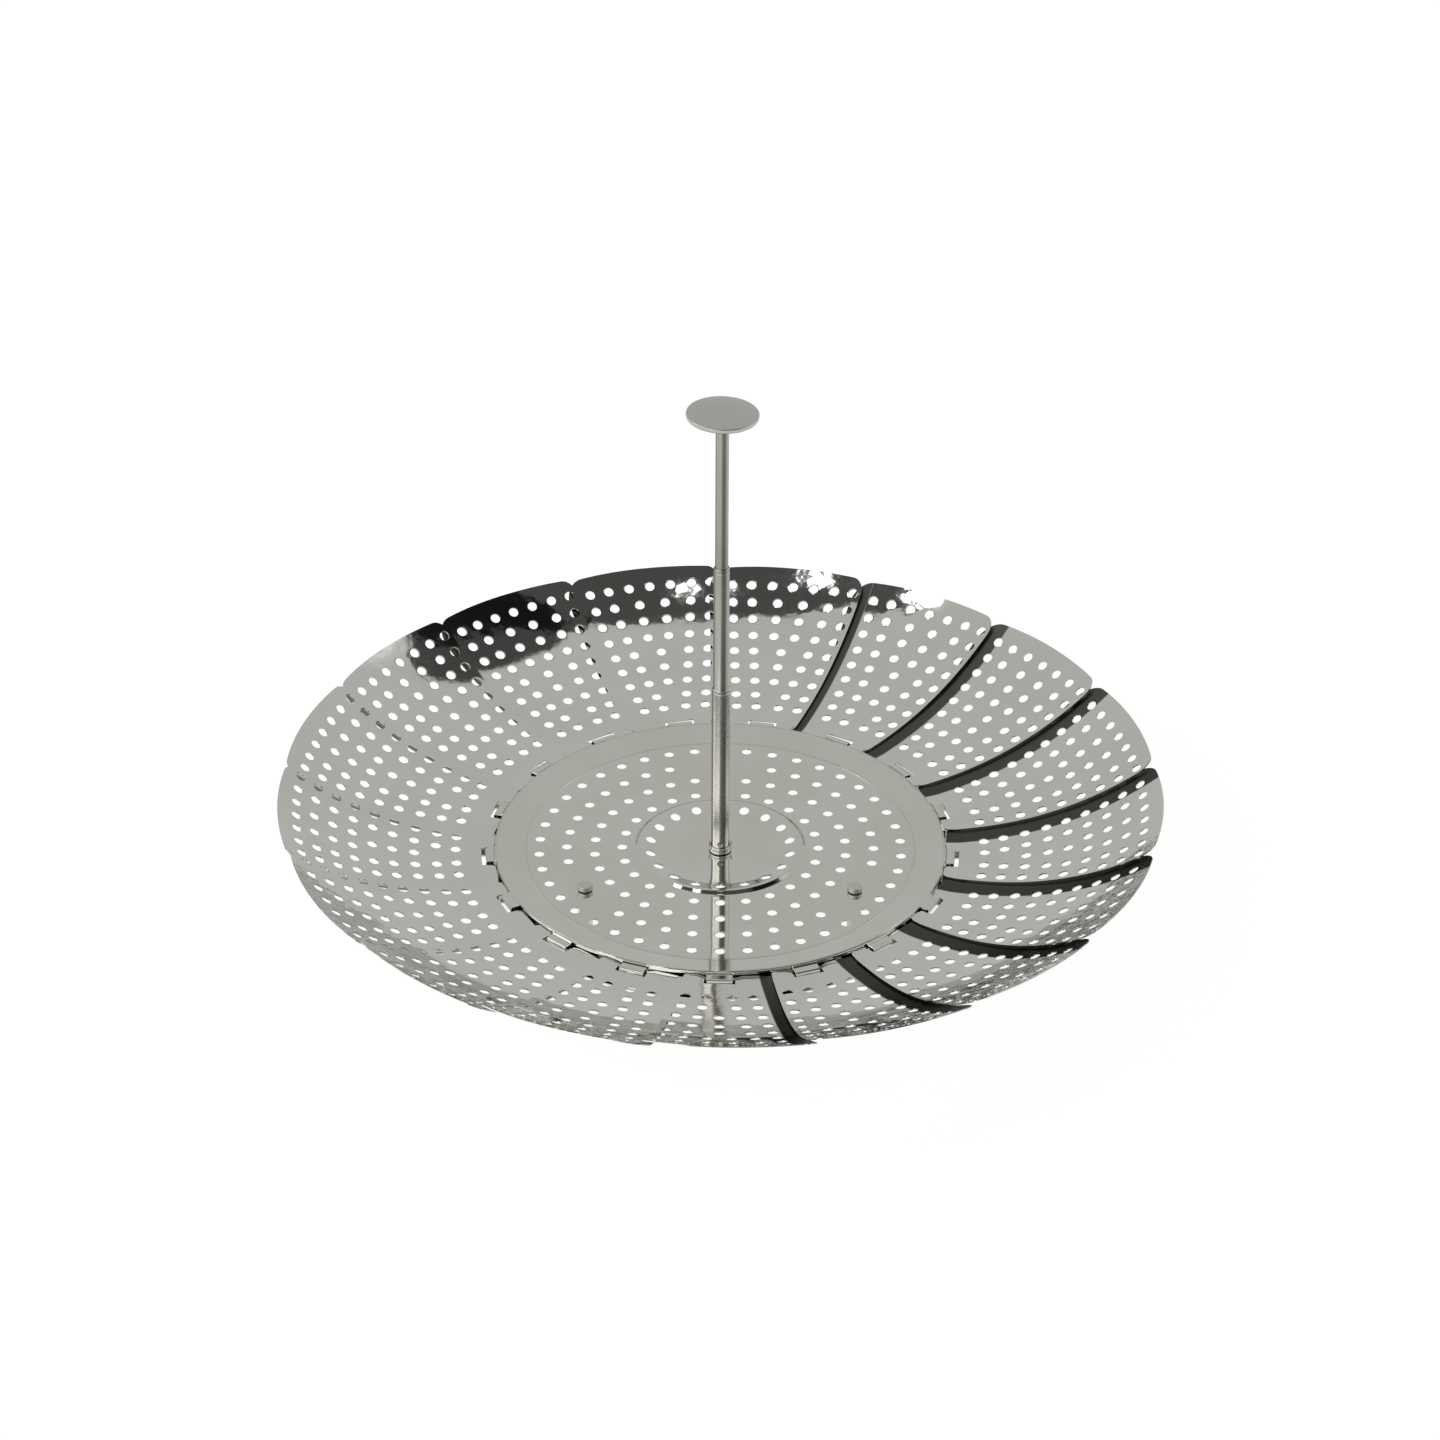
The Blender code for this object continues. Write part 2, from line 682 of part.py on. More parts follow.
def make_post_plug():
    """The threaded plug staked into the lower tube's end."""
    radius = LOWER_TUBE_RADIUS - TUBE_WALL - PLUG_GAP
    top = LOWER_TUBE_END + PLUG_TOP_ABOVE_TUBE_END
    profile = [
        (PLUG_BORE_RADIUS, top),
        (radius, top),
        (radius, LOWER_TUBE_END),
        (PLUG_BORE_RADIUS, LOWER_TUBE_END),
    ]
    return finish_piece(turned("post_plug", profile, TUBE_STEPS, closed=True), FASTENER_STEEL)


def make_post_washer():
    top = WELL_UNDERSIDE - SEAT_GAP
    bottom = top - WASHER_THICKNESS
    profile = [
        (PLUG_BORE_RADIUS, top),
        (WASHER_RADIUS, top),
        (WASHER_RADIUS, bottom),
        (PLUG_BORE_RADIUS, bottom),
    ]
    return finish_piece(turned("post_washer", profile, TUBE_STEPS, closed=True), FASTENER_STEEL)


def make_post_screw():
    seat = WELL_UNDERSIDE - WASHER_THICKNESS - 2 * SEAT_GAP
    end = LOWER_TUBE_END + PLUG_TOP_ABOVE_TUBE_END - SEAT_GAP
    head_bottom = seat - SCREW_HEAD_HEIGHT
    profile = [
        (0, end),
        (SCREW_SHANK_RADIUS, end),
        (SCREW_SHANK_RADIUS, seat),
        (SCREW_HEAD_RADIUS, seat),
        (SCREW_HEAD_RADIUS, head_bottom + SCREW_HEAD_CHAMFER),
        (SCREW_HEAD_RADIUS - SCREW_HEAD_CHAMFER, head_bottom),
        (0, head_bottom),
    ]
    return finish_piece(turned_solid("post_screw", profile, TUBE_STEPS), FASTENER_STEEL)


def prongs_bmesh(root_radius, root_height):
    """Flat prongs that lean outwards from the lock ring."""
    bm = bmesh.new()
    size = Matrix.Diagonal((RING_WALL, PRONG_WIDTH, PRONG_LENGTH, 1))
    raise_half = Matrix.Translation(Vector((0, 0, PRONG_LENGTH / 2)))
    lean = Matrix.Rotation(PRONG_TILT, 4, "Y")
    root = Matrix.Translation(Vector((root_radius, 0, root_height)))
    for index in range(PRONG_COUNT):
        turn = Matrix.Rotation(index * math.tau / PRONG_COUNT, 4, "Z")
        bmesh.ops.create_cube(bm, size=1, matrix=turn @ root @ lean @ raise_half @ size)
    return bm


def make_lock_ring():
    """The pronged ring that grips the lower tube's end above the plate."""
    bore = LOWER_TUBE_RADIUS + PLUG_GAP
    top = LOWER_TUBE_END + RING_HEIGHT
    outer = bore + RING_WALL
    profile = [(bore, top), (outer, top), (outer, LOWER_TUBE_END), (bore, LOWER_TUBE_END)]
    ring = turned("lock_ring", profile, TUBE_STEPS, closed=True)
    prongs = prongs_bmesh(outer, LOWER_TUBE_END + RING_HEIGHT / 2)
    add_boolean(ring, new_cutter("lock_ring_prongs", prongs), "UNION")
    return finish_piece(ring, FASTENER_STEEL)


# Feet

def make_foot(name, index):
    """A peg below the plate, its neck through the plate and its head on top."""
    underside = -PLATE_SHEET
    shoulder = underside - SEAT_GAP
    head_top = SEAT_GAP + FOOT_HEAD_HEIGHT
    floor = underside - FOOT_HEIGHT
    profile = [
        (0, head_top),
        (FOOT_HEAD_RADIUS - FOOT_HEAD_CHAMFER, head_top),
        (FOOT_HEAD_RADIUS, head_top - FOOT_HEAD_CHAMFER),
        (FOOT_HEAD_RADIUS, SEAT_GAP),
        (FOOT_NECK_RADIUS, SEAT_GAP),
        (FOOT_NECK_RADIUS, shoulder),
        (FOOT_SHOULDER_RADIUS, shoulder),
        (FOOT_SHOULDER_RADIUS, shoulder - FOOT_SHOULDER_HEIGHT),
        (FOOT_RADIUS, shoulder - FOOT_SHOULDER_HEIGHT),
        (FOOT_RADIUS, floor + FOOT_END_CHAMFER),
        (FOOT_RADIUS - FOOT_END_CHAMFER, floor),
        (0, floor),
    ]
    foot = finish_piece(turned_solid(name, profile, FOOT_STEPS), FASTENER_STEEL)
    foot.location = polar(FOOT_CIRCLE_RADIUS, foot_azimuth(index), PLATE_LEVEL)
    return foot


clear_scene()
steamer = new_collection("vegetable_steamer")
cutters = new_collection("cutters")
lower_tube = make_lower_tube()
middle_tube = make_middle_tube(lower_tube)
upper_tube = make_upper_tube(middle_tube)
make_knob(upper_tube)
fixings = [make_post_plug(), make_post_washer(), make_post_screw(), make_lock_ring()]
for plate_piece in [make_base_plate(), make_seat_ring(), lower_tube] + fixings:
    plate_piece.location.z = PLATE_LEVEL
make_leaves()
for foot_index in range(FOOT_COUNT):
    make_foot(f"foot_{foot_index + 1}", foot_index)
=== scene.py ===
# Folding vegetable steamer: the look of each piece, the light and the camera.
# Metres, +Z up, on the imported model's frame.

from math import atan, atan2, cos, degrees, hypot, pi, radians, sin, sqrt, tau

import bmesh
import bpy
from mathutils import Matrix, Vector, geometry


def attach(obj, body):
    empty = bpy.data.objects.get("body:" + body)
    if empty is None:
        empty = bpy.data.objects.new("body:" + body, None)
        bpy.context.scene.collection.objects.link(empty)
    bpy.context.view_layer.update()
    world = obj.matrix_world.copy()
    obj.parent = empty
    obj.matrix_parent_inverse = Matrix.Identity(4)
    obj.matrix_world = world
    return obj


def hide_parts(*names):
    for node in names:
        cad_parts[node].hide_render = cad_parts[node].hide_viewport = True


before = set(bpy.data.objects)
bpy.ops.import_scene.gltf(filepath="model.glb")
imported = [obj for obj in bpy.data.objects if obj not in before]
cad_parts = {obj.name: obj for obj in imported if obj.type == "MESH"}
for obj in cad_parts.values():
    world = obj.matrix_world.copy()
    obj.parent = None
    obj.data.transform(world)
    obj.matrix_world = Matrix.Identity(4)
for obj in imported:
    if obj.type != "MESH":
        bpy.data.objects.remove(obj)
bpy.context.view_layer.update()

# Counts and angles
LEAF_COUNT = 17
FIRST_LEAF_ANGLE = radians(-90)
LEAF_ANGLE = tau / LEAF_COUNT
FOOT_COUNT = 3
FIRST_FOOT_ANGLE = radians(90)
FOOT_ANGLE = tau / FOOT_COUNT
PLATE_STEPS = 12 * LEAF_COUNT
TUBE_STEPS = 64
KNOB_STEPS = 128
FOOT_STEPS = 40
HOLE_STEPS = 20
OPEN_CORNER_STEPS = 6
LOOP_CORNER_STEPS = 4
SHARP_ANGLE = radians(38)
TUBE_SHARP_ANGLE = radians(50)

# A triangle lies in a round hole if its middle is within this share of the hole's radius
OPEN_SHARE = 0.985

# Two radii that differ by less are the same circle
SAME_RADIUS = 2e-6

# Neighbouring walls of a sheet are shaded as one where the cosine between them is more than this
SMOOTH_WALL = 0.7

# Shared clearances, levels of the base plate and of the hinges
SEAT_GAP = 0.0003
PLATE_SHEET = 0.00045
PLATE_SHOWN_SHEET = 0.00032
FOOT_HEIGHT = 0.0220
PLATE_LEVEL = FOOT_HEIGHT + PLATE_SHEET
PLATE_RADIUS = 0.0704
PLATE_FLAT_RADIUS = 0.0608
PLATE_RIM_RISE = 0.0021
WELL_DROP = 0.0010
SCREW_BORE_RADIUS = 0.00135
HOOK_REACH = 0.0016
HOOK_BORE_RADIUS = 0.00125
HINGE_RADIUS = PLATE_RADIUS + HOOK_REACH
HINGE_HEIGHT = PLATE_RIM_RISE - PLATE_SHEET - HOOK_BORE_RADIUS

# Base plate: top surface from the centre out, radius, height and how far the corner is rounded
PLATE_PROFILE = [
    (SCREW_BORE_RADIUS, -WELL_DROP, 0),
    (0.0140, -WELL_DROP, 0.0020),
    (0.0188, -0.0008, 0.0022),
    (0.0254, 0.0012, 0.0006),
    (0.0271, 0, 0.0007),
    (0.0603, 0, 0.0003),
    (PLATE_FLAT_RADIUS, -0.00005, 0.0003),
    (0.0613, 0.0001, 0.0003),
    (0.0692, 0.0019, 0.0008),
    (0.0700, 0.0020, 0.0003),
    (0.07035, 0.0017, 0.0002),
    (PLATE_RADIUS, 0.0009, 0),
]

# Base plate: circles of points that keep its triangles small in the well and on the rim
WELL_CIRCLES = (0.005, 0.008, 0.011)
WELL_STEPS = 48
BORE_STEPS = 24
RIM_CIRCLES = (0.0636, 0.0664)

# Base plate: holes in rings that all line up at the first leaf
HOLE_RADIUS = 0.00159
HOLE_ROLL_WIDTH = 0.00034
HOLE_ROLL_DROP = 0.00004
FIRST_RING_RADIUS = 0.0220
HOLE_RING_PITCH = 0.00864
HOLE_RINGS = 5
FIRST_RING_HOLES = 18
EXTRA_HOLES_PER_RING = 6
FOOT_RING = 3
FOOT_CIRCLE_RADIUS = FIRST_RING_RADIUS + FOOT_RING * HOLE_RING_PITCH
FOOT_BORE_RADIUS = 0.0013

# Base plate: no circle of the profile runs here, through the first ring of holes
FIRST_RING_INSIDE = 0.0196
FIRST_RING_OUTSIDE = 0.0242

# Hooks
HOOK_WIDTH = 0.0078
HOOK_SHEET = 0.0003
HOOK_EDGE = 0.00008

# Hooks: middle of the strip seen from the side, about the hinge, outwards, up and how far a corner is rounded
HOOK_PATH = [
    (-0.0024, 0.00125, 0),
    (-0.00165, 0.00125, 0.0004),
    (-0.00120, 0.00072, 0.0004),
    (0.00122, 0.00066, 0.0005),
    (0.00122, -0.00142, 0.0008),
    (-0.0007, -0.0016, 0),
]

# Ring under the rim: middle of its sheet from the inside out, and its windows under the leaves' slots
SEAT_RING_SHEET = 0.0005
SEAT_RING_PROFILE = [
    (0.0600, -0.0010, 0),
    (0.0620, -0.0010, 0.0008),
    (0.0694, -0.00285, 0.0008),
    (0.0776, -0.00285, 0),
]
WINDOW_START = 0.0712
WINDOW_END = 0.0760
WINDOW_WIDTH = 0.0108
WINDOW_CORNER = 0.0005

# Leaves: height, as a dish that each leaf crosses at a slant to lie on its neighbour
LEAF_SHEET = 0.0003
LEAF_REACH = 0.0647
LEAF_RISE = 0.0227
LEAF_DISH_SHARES = (0.127, 0.482, 0.391)
LEAF_LIFT_BASE = 0.0008
LEAF_LIFT_TIP = 0.0010

# Leaves: the clockwise half curls up with the square of the offset, more and more from START out to FULL
LEAF_CUP = 1.1
LEAF_CUP_START = 0.010
LEAF_CUP_FULL = 0.045

# Leaves: the inner end turns up beside the slot
TURN_UP_HEIGHT = 0.0004
TURN_UP_LENGTH = 0.0013
TURN_UP_INSIDE = 0.0046
TURN_UP_OUTSIDE = 0.0060

# Leaves: plan shape about the hinge, x outwards and y anticlockwise
LEAF_CLOCKWISE_BASE = 0.0111
LEAF_CLOCKWISE_TIP = 0.0249
LEAF_LAP_BASE = 0.0149
LEAF_LAP_TIP = 0.0304
LEAF_TIP_ARC_RADIUS = 0.105
LEAF_TIP_ARC_OFFSET = 0.0015
LEAF_CLOCKWISE_CORNER = 0.0045
LEAF_LAP_CORNER = 0.0070
LEAF_LAP_INNER_BASE = 0.0168
LEAF_LAP_INNER_SLOPE = 0.1960
LEAF_INNER_RADIUS = 0.07075
LEAF_INNER_LIMIT = -0.0019
LEAF_INNER_CUT = 0.0009
BAR_INNER_END = -0.0009
BAR_CORNER = 0.0003
SLOT_START = -0.0001
SLOT_END = 0.0026
SLOT_WIDTH = 0.0094
SLOT_CORNER = 0.0003
LEAF_CORNER_STEPS = 12
LEAF_TIP_STEPS = 16
LEAF_SIDE_STEPS = 22
LEAF_INNER_STEPS = 5

# Leaves: punched holes in rows across, between two slanting outer lines
LEAF_ROWS = (0.0826, 0.08875, 0.09545, 0.10215, 0.1083, 0.1143, 0.1202, 0.1258, 0.1312)
LEAF_INNER_HOLES = (0, 0, 1, 1, 1, 2, 2, 2, 3)
LEAF_OUTER_LINE_BASE = 0.0101
LEAF_OUTER_LINE_SPREAD = 0.213
LEAF_SECOND_LINE_INSET = 0.0064

# Leaves: points between the holes, in rows that keep clear of the holes, the slot and the tip
GRID_PITCH = 0.0024
GRID_ROW_PITCH = 0.87 * GRID_PITCH
GRID_STARTS = (1.1 * GRID_PITCH, 0.6 * GRID_PITCH)
GRID_LAP_MARGIN = 0.5 * GRID_PITCH
GRID_TIP_MARGIN = 0.4 * GRID_PITCH
GRID_SLOT_MARGIN = 0.0007
GRID_HOLE_CLEARANCE = HOLE_RADIUS + 1.8 * HOLE_ROLL_WIDTH

# Cut edges of all sheets, dull and partly darkened as painted shade, and on a leaf a dull strip of painted
# shadow beside the leaf that laps it, standing for the shade under that leaf's edge, widest on the right
EDGE_DULL_AND_SHADE = 0.35
SHADED_WIDTH = 0.0070
SHADED_POWER = 0.6
SHADED_WIDEST_ANGLE = radians(-10)
SHADED_EDGE = 0.0006


def polar(radius, angle, height=0):
    return Vector((radius * cos(angle), radius * sin(angle), height))


def leaf_azimuth(index):
    return FIRST_LEAF_ANGLE + index * LEAF_ANGLE


def foot_azimuth(index):
    return FIRST_FOOT_ANGLE + index * FOOT_ANGLE


# Meshes

def add_object(name, data):
    obj = bpy.data.objects.new(name, data)
    bpy.context.scene.collection.objects.link(obj)
    return obj


def new_piece(name, bm, material):
    mesh = bpy.data.meshes.new(name)
    bm.to_mesh(mesh)
    bm.free()
    mesh.materials.append(material)
    return add_object(name, mesh)


def settle(obj, body, node):
    """Ties a finished piece to its body, and hides the solid that it stands for."""
    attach(obj, body)
    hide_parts(node)


def shade(obj, angle=SHARP_ANGLE):
    obj.data.shade_smooth()
    obj.data.set_sharp_from_angle(angle=angle)
    return obj


def finish(name, bm, material, body, node, angle=SHARP_ANGLE):
    settle(shade(new_piece(name, bm, material), angle), body, node)


def arc_points(before, corner, after, size, steps):
    """A rounded corner: points of a quadratic curve from one side of the corner to the other."""
    if size == 0:
        return [corner]
    start = corner + (before - corner).normalized() * size
    end = corner + (after - corner).normalized() * size
    shares = [step / steps for step in range(steps + 1)]
    return [start * (1 - t) ** 2 + corner * (2 * t * (1 - t)) + end * t ** 2 for t in shares]


def rounded(profile, steps=OPEN_CORNER_STEPS):
    """Rounds the corners of a profile of (x, y, size) points. The ends of an open one have size 0."""
    corners = [Vector(point[:2]) for point in profile]
    points = []
    for index, corner in enumerate(corners):
        after = corners[(index + 1) % len(corners)]
        points += arc_points(corners[index - 1], corner, after, profile[index][2], steps)
    return points


def rounded_loop(profile):
    return rounded(profile, LOOP_CORNER_STEPS)


def rectangle(start, end, width, corner):
    """A rounded rectangle of points, from start to end outwards and half its width to either side."""
    half = width / 2
    corners = ((start, -half), (end, -half), (end, half), (start, half))
    return rounded_loop([(x, y, corner) for x, y in corners])


def turned(profile, steps, closed, level=PLATE_LEVEL):
    """Turns (radius, height) points about Z, above a level. Points on the axis become one vertex."""
    bm = bmesh.new()
    rings = []
    turns = [tau * k / steps for k in range(steps)]
    for radius, height in profile:
        if radius == 0:
            rings.append([bm.verts.new((0, 0, height + level))])
        else:
            rings.append([bm.verts.new(polar(radius, turn, height + level)) for turn in turns])
    pairs = list(zip(rings, rings[1:]))
    if closed:
        pairs.append((rings[-1], rings[0]))
    for first, second in pairs:
        for k in range(steps):
            n = (k + 1) % steps
            near = [first[k % len(first)], second[k % len(second)]]
            far = [second[n % len(second)], first[n % len(first)]]
            face = list(dict.fromkeys(near + far))
            if len(face) > 2:
                bm.faces.new(face)
    bmesh.ops.recalc_face_normals(bm, faces=bm.faces)
    return bm


# Perforated sheets

def triangulated(loops, points, is_open):
    """Flat triangles inside the first loop, held to every loop, without those whose middle is open."""
    coords = []
    edges = []
    for loop in loops:
        start = len(coords)
        coords += loop
        edges += [(start + k, start + (k + 1) % len(loop)) for k in range(len(loop))]
    coords += points
    made = geometry.delaunay_2d_cdt(coords, edges, [], 1, 1e-7)
    verts, faces = made[0], made[2]
    kept = []
    for face in faces:
        middle = sum((verts[i] for i in face), Vector((0, 0))) / len(face)
        if not is_open(middle):
            kept.append(face)
    return verts, kept


def sheet(name, flat, place, thickness, material, dull_and_shade_at=None):
    """A sheet of the flat triangles, each point put in place, with walls round every open edge.

    Top and underside are shaded by the true surface, so that reflections stay clean. The walls are marked
    partly dull and darkened in part as painted shade, and the top gets a dull strip of painted shadow as far
    as dull_and_shade_at says.
    """
    verts, faces = flat
    placed = [place(vert.x, vert.y) for vert in verts]
    top_points = [point + normal * thickness / 2 for point, normal in placed]
    low_points = [point - normal * thickness / 2 for point, normal in placed]
    normals = [normal for point, normal in placed]
    count = len(verts)
    uses = dict.fromkeys(edge for face in faces for edge in zip(face, face[1:] + face[:1]))
    walls = [(a, b) for a, b in uses if (b, a) not in uses]
    wall_next = dict(walls)
    wall_before = {b: a for a, b in walls}
    polygons = [tuple(face) for face in faces]
    polygons += [tuple(count + i for i in reversed(face)) for face in faces]
    polygons += [(b, a, count + a, count + b) for a, b in walls]
    mesh = bpy.data.meshes.new(name)
    mesh.from_pydata(top_points + low_points, [], polygons)
    side = {}
    for a, b in walls:
        along = (top_points[b] - top_points[a]).normalized()
        side[(a, b)] = along.cross(normals[a]).normalized()
    loop_normals = [normals[i] for face in faces for i in face]
    loop_normals += [-normals[i] for face in faces for i in reversed(face)]
    for a, b in walls:
        here = side[(a, b)]
        ahead = side.get((b, wall_next.get(b)), here)
        behind = side.get((wall_before.get(a), a), here)
        at_a = (here + behind).normalized() if here.dot(behind) > SMOOTH_WALL else here
        at_b = (here + ahead).normalized() if here.dot(ahead) > SMOOTH_WALL else here
        loop_normals += [at_b, at_a, at_a, at_b]
    mesh.shade_smooth()
    mesh.normals_split_custom_set(loop_normals)
    # Painted shade on the top's strip, kept as a dull share
    shares = [dull_and_shade_at(vert) if dull_and_shade_at else 0 for vert in verts]
    dull_and_shade = [shares[i] for face in faces for i in face]
    dull_and_shade += [0] * len(dull_and_shade)
    # The walls' dull share darkens them, partly as painted shade and partly as their own rough cut finish
    dull_and_shade += [EDGE_DULL_AND_SHADE] * (4 * len(walls))
    mesh.attributes.new("dull_and_shade", "FLOAT", "CORNER").data.foreach_set("value", dull_and_shade)
    mesh.materials.append(material)
    return add_object(name, mesh)


def circle(centre, radius, steps, squeeze=1):
    """A circle of points, squeezed along x where the sheet slopes."""
    turns = [tau * k / steps for k in range(steps)]
    return [centre + Vector((radius * squeeze * cos(turn), radius * sin(turn))) for turn in turns]


def post_circle(radius, steps=PLATE_STEPS):
    return circle(Vector((0, 0)), radius, steps)


def hole_circles(centre, squeeze=1):
    """The edge of a punched hole and the two circles that its rolled edge needs."""
    radii = (HOLE_RADIUS, HOLE_RADIUS + HOLE_ROLL_WIDTH / 2, HOLE_RADIUS + HOLE_ROLL_WIDTH)
    return [circle(centre, radius, HOLE_STEPS, squeeze) for radius in radii]


def hole_roll(offset, distance):
    """How far the sheet is drawn down beside a punched hole, and which way it leans there."""
    if distance >= HOLE_RADIUS + HOLE_ROLL_WIDTH - 1e-6:
        return None
    share = 1 - max(0, distance - HOLE_RADIUS) / HOLE_ROLL_WIDTH
    lean = offset.normalized() * (2 * HOLE_ROLL_DROP * share / HOLE_ROLL_WIDTH)
    return HOLE_ROLL_DROP * share ** 2, lean


# Base plate

def ring_holes(ring):
    return FIRST_RING_HOLES + ring * EXTRA_HOLES_PER_RING


def plate_hole(ring, index):
    """Middle of a hole, or None where a foot takes its place."""
    step = tau / ring_holes(ring)
    angle = FIRST_LEAF_ANGLE + index * step
    for foot in range(FOOT_COUNT):
        apart = (angle - foot_azimuth(foot) + pi) % tau - pi
        if ring == FOOT_RING and abs(apart) < 1.5 * step:
            return None
    return polar(FIRST_RING_RADIUS + ring * HOLE_RING_PITCH, angle).xy


def plate_hole_centres():
    holes = [plate_hole(ring, index) for ring in range(HOLE_RINGS) for index in range(ring_holes(ring))]
    return [hole for hole in holes if hole is not None]


def nearest_plate_hole(point):
    """Middle of the hole nearest to a point, or None where there is none near."""
    ring = round((point.length - FIRST_RING_RADIUS) / HOLE_RING_PITCH)
    if not 0 <= ring < HOLE_RINGS:
        return None
    turn = atan2(point.y, point.x) - FIRST_LEAF_ANGLE
    return plate_hole(ring, round(turn / (tau / ring_holes(ring))))


def profile_at(points, radius):
    """Height and slope of a profile at a radius."""
    for (r0, z0), (r1, z1) in zip(points, points[1:]):
        if radius <= r1 + 1e-9:
            slope = (z1 - z0) / max(r1 - r0, 1e-9)
            return z0 + (radius - r0) * slope, slope
    return points[-1][1], 0


def leans(points):
    """The angle of slope at each point of a profile, halfway between its two sides."""
    sides = [atan((b[1] - a[1]) / max(b[0] - a[0], 1e-9)) for a, b in zip(points, points[1:])]
    return [sides[0]] + [(a + b) / 2 for a, b in zip(sides, sides[1:])] + [sides[-1]]


def on_profile(points, point_leans, flat):
    """Height and normal of a turned sheet above a point of its plan."""
    radius = flat.length
    height, slope = profile_at(points, radius)
    lean = atan(slope)
    for point, point_lean in zip(points, point_leans):
        if abs(point[0] - radius) < SAME_RADIUS:
            lean = point_lean
    outward = flat / radius
    normal = Vector((-outward.x * sin(lean), -outward.y * sin(lean), cos(lean)))
    return height, normal


def make_base_plate(material):
    points = rounded(PLATE_PROFILE)
    point_leans = leans(points)
    radii = [radius for radius, height in points[1:-1] if not FIRST_RING_INSIDE < radius < FIRST_RING_OUTSIDE]
    loops = [post_circle(radius) for radius in (PLATE_RADIUS, *radii)]
    loops.append(post_circle(SCREW_BORE_RADIUS, BORE_STEPS))
    loops += [post_circle(radius) for radius in RIM_CIRCLES]
    for centre in plate_hole_centres():
        loops += hole_circles(centre)
    seats = [polar(FOOT_CIRCLE_RADIUS, foot_azimuth(index)).xy for index in range(FOOT_COUNT)]
    loops += [circle(seat, FOOT_BORE_RADIUS, HOLE_STEPS) for seat in seats]
    extra = [point for radius in WELL_CIRCLES for point in post_circle(radius, WELL_STEPS)]

    def is_open(middle):
        in_seat = any((middle - seat).length < FOOT_BORE_RADIUS for seat in seats)
        if in_seat or middle.length < SCREW_BORE_RADIUS:
            return True
        centre = nearest_plate_hole(middle)
        return centre is not None and (middle - centre).length < HOLE_RADIUS * OPEN_SHARE

    def place(x, y):
        flat = Vector((x, y))
        height, normal = on_profile(points, point_leans, flat)
        centre = nearest_plate_hole(flat)
        roll = None if centre is None else hole_roll(flat - centre, (flat - centre).length)
        if roll:
            drop, lean = roll
            height -= drop
            normal = (normal + lean.to_3d()).normalized()
        return Vector((x, y, PLATE_LEVEL + height)) - normal * PLATE_SHOWN_SHEET / 2, normal

    plate = sheet("pressed_plate", triangulated(loops, extra, is_open), place, PLATE_SHOWN_SHEET, material)
    join([plate, make_hooks(material)])
    settle(plate, "stand", "base_plate")


def join(objects):
    with bpy.context.temp_override(active_object=objects[0], selected_editable_objects=objects):
        bpy.ops.object.join()


def hook_outline():
    """Side view of a hook, its root in the rim, down through the leaf's slot and back under its bar.

    Each point of the strip gives a point on its outside and one on its inside.
    """
    path = rounded(HOOK_PATH)
    outline = []
    for before, point, after in zip(path[:1] + path, path, path[1:] + path[-1:]):
        along = (after - before).normalized()
        across = Vector((-along.y, along.x)) * HOOK_SHEET / 2
        outline.append((point + across, point - across))
    return outline


def make_hooks(material):
    outline = hook_outline()
    half = HOOK_WIDTH / 2
    bm = bmesh.new()
    for index in range(LEAF_COUNT):
        azimuth = leaf_azimuth(index)
        spot = Matrix.Translation(polar(HINGE_RADIUS, azimuth, PLATE_LEVEL + HINGE_HEIGHT))
        turn = spot @ Matrix.Rotation(azimuth, 4, "Z")
        rows = []
        for out, into in outline:
            across = (out - into).normalized()
            section = [(half - HOOK_EDGE, out), (half, out - across * HOOK_EDGE)]
            section += [(half, into + across * HOOK_EDGE), (half - HOOK_EDGE, into)]
            section += [(-y, p) for y, p in reversed(section)]
            rows.append([bm.verts.new(turn @ Vector((p.x, y, p.y))) for y, p in section])
        for first, second in zip(rows, rows[1:]):
            for k in range(len(first)):
                n = (k + 1) % len(first)
                bm.faces.new((first[k], first[n], second[n], second[k]))
        bm.faces.new(rows[0])
        bm.faces.new(list(reversed(rows[-1])))
    bmesh.ops.recalc_face_normals(bm, faces=bm.faces)
    return shade(new_piece("hooks", bm, material))


def make_seat_ring(material):
    """The ring welded under the plate, which runs out below the hooks, with a window under each slot."""
    points = rounded(SEAT_RING_PROFILE)
    point_leans = leans(points)
    loops = [post_circle(radius) for radius, height in points]
    window = rectangle(WINDOW_START, WINDOW_END, WINDOW_WIDTH, WINDOW_CORNER)
    turns = [Matrix.Rotation(leaf_azimuth(index), 2) for index in range(LEAF_COUNT)]
    loops += [[turn @ corner for corner in window] for turn in turns]

    def is_open(middle):
        if middle.length < SEAT_RING_PROFILE[0][0]:
            return True
        for turn in turns:
            local = turn.transposed() @ middle
            if WINDOW_START < local.x < WINDOW_END and abs(local.y) < WINDOW_WIDTH / 2:
                return True
        return False

    def place(x, y):
        height, normal = on_profile(points, point_leans, Vector((x, y)))
        return Vector((x, y, PLATE_LEVEL + height)), normal

    ring = sheet("under_rim_ring", triangulated(loops, [], is_open), place, SEAT_RING_SHEET, material)
    settle(ring, "stand", "seat_ring")


# Leaves

def leaf_edges(x):
    share = x / LEAF_REACH
    clockwise = LEAF_CLOCKWISE_BASE + share * (LEAF_CLOCKWISE_TIP - LEAF_CLOCKWISE_BASE)
    lap = LEAF_LAP_BASE + share * (LEAF_LAP_TIP - LEAF_LAP_BASE)
    return -clockwise, max(lap, LEAF_LAP_INNER_BASE + LEAF_LAP_INNER_SLOPE * x)


def smooth(value, start, end):
    share = min(1, max(0, (value - start) / (end - start)))
    return share * share * (3 - 2 * share)


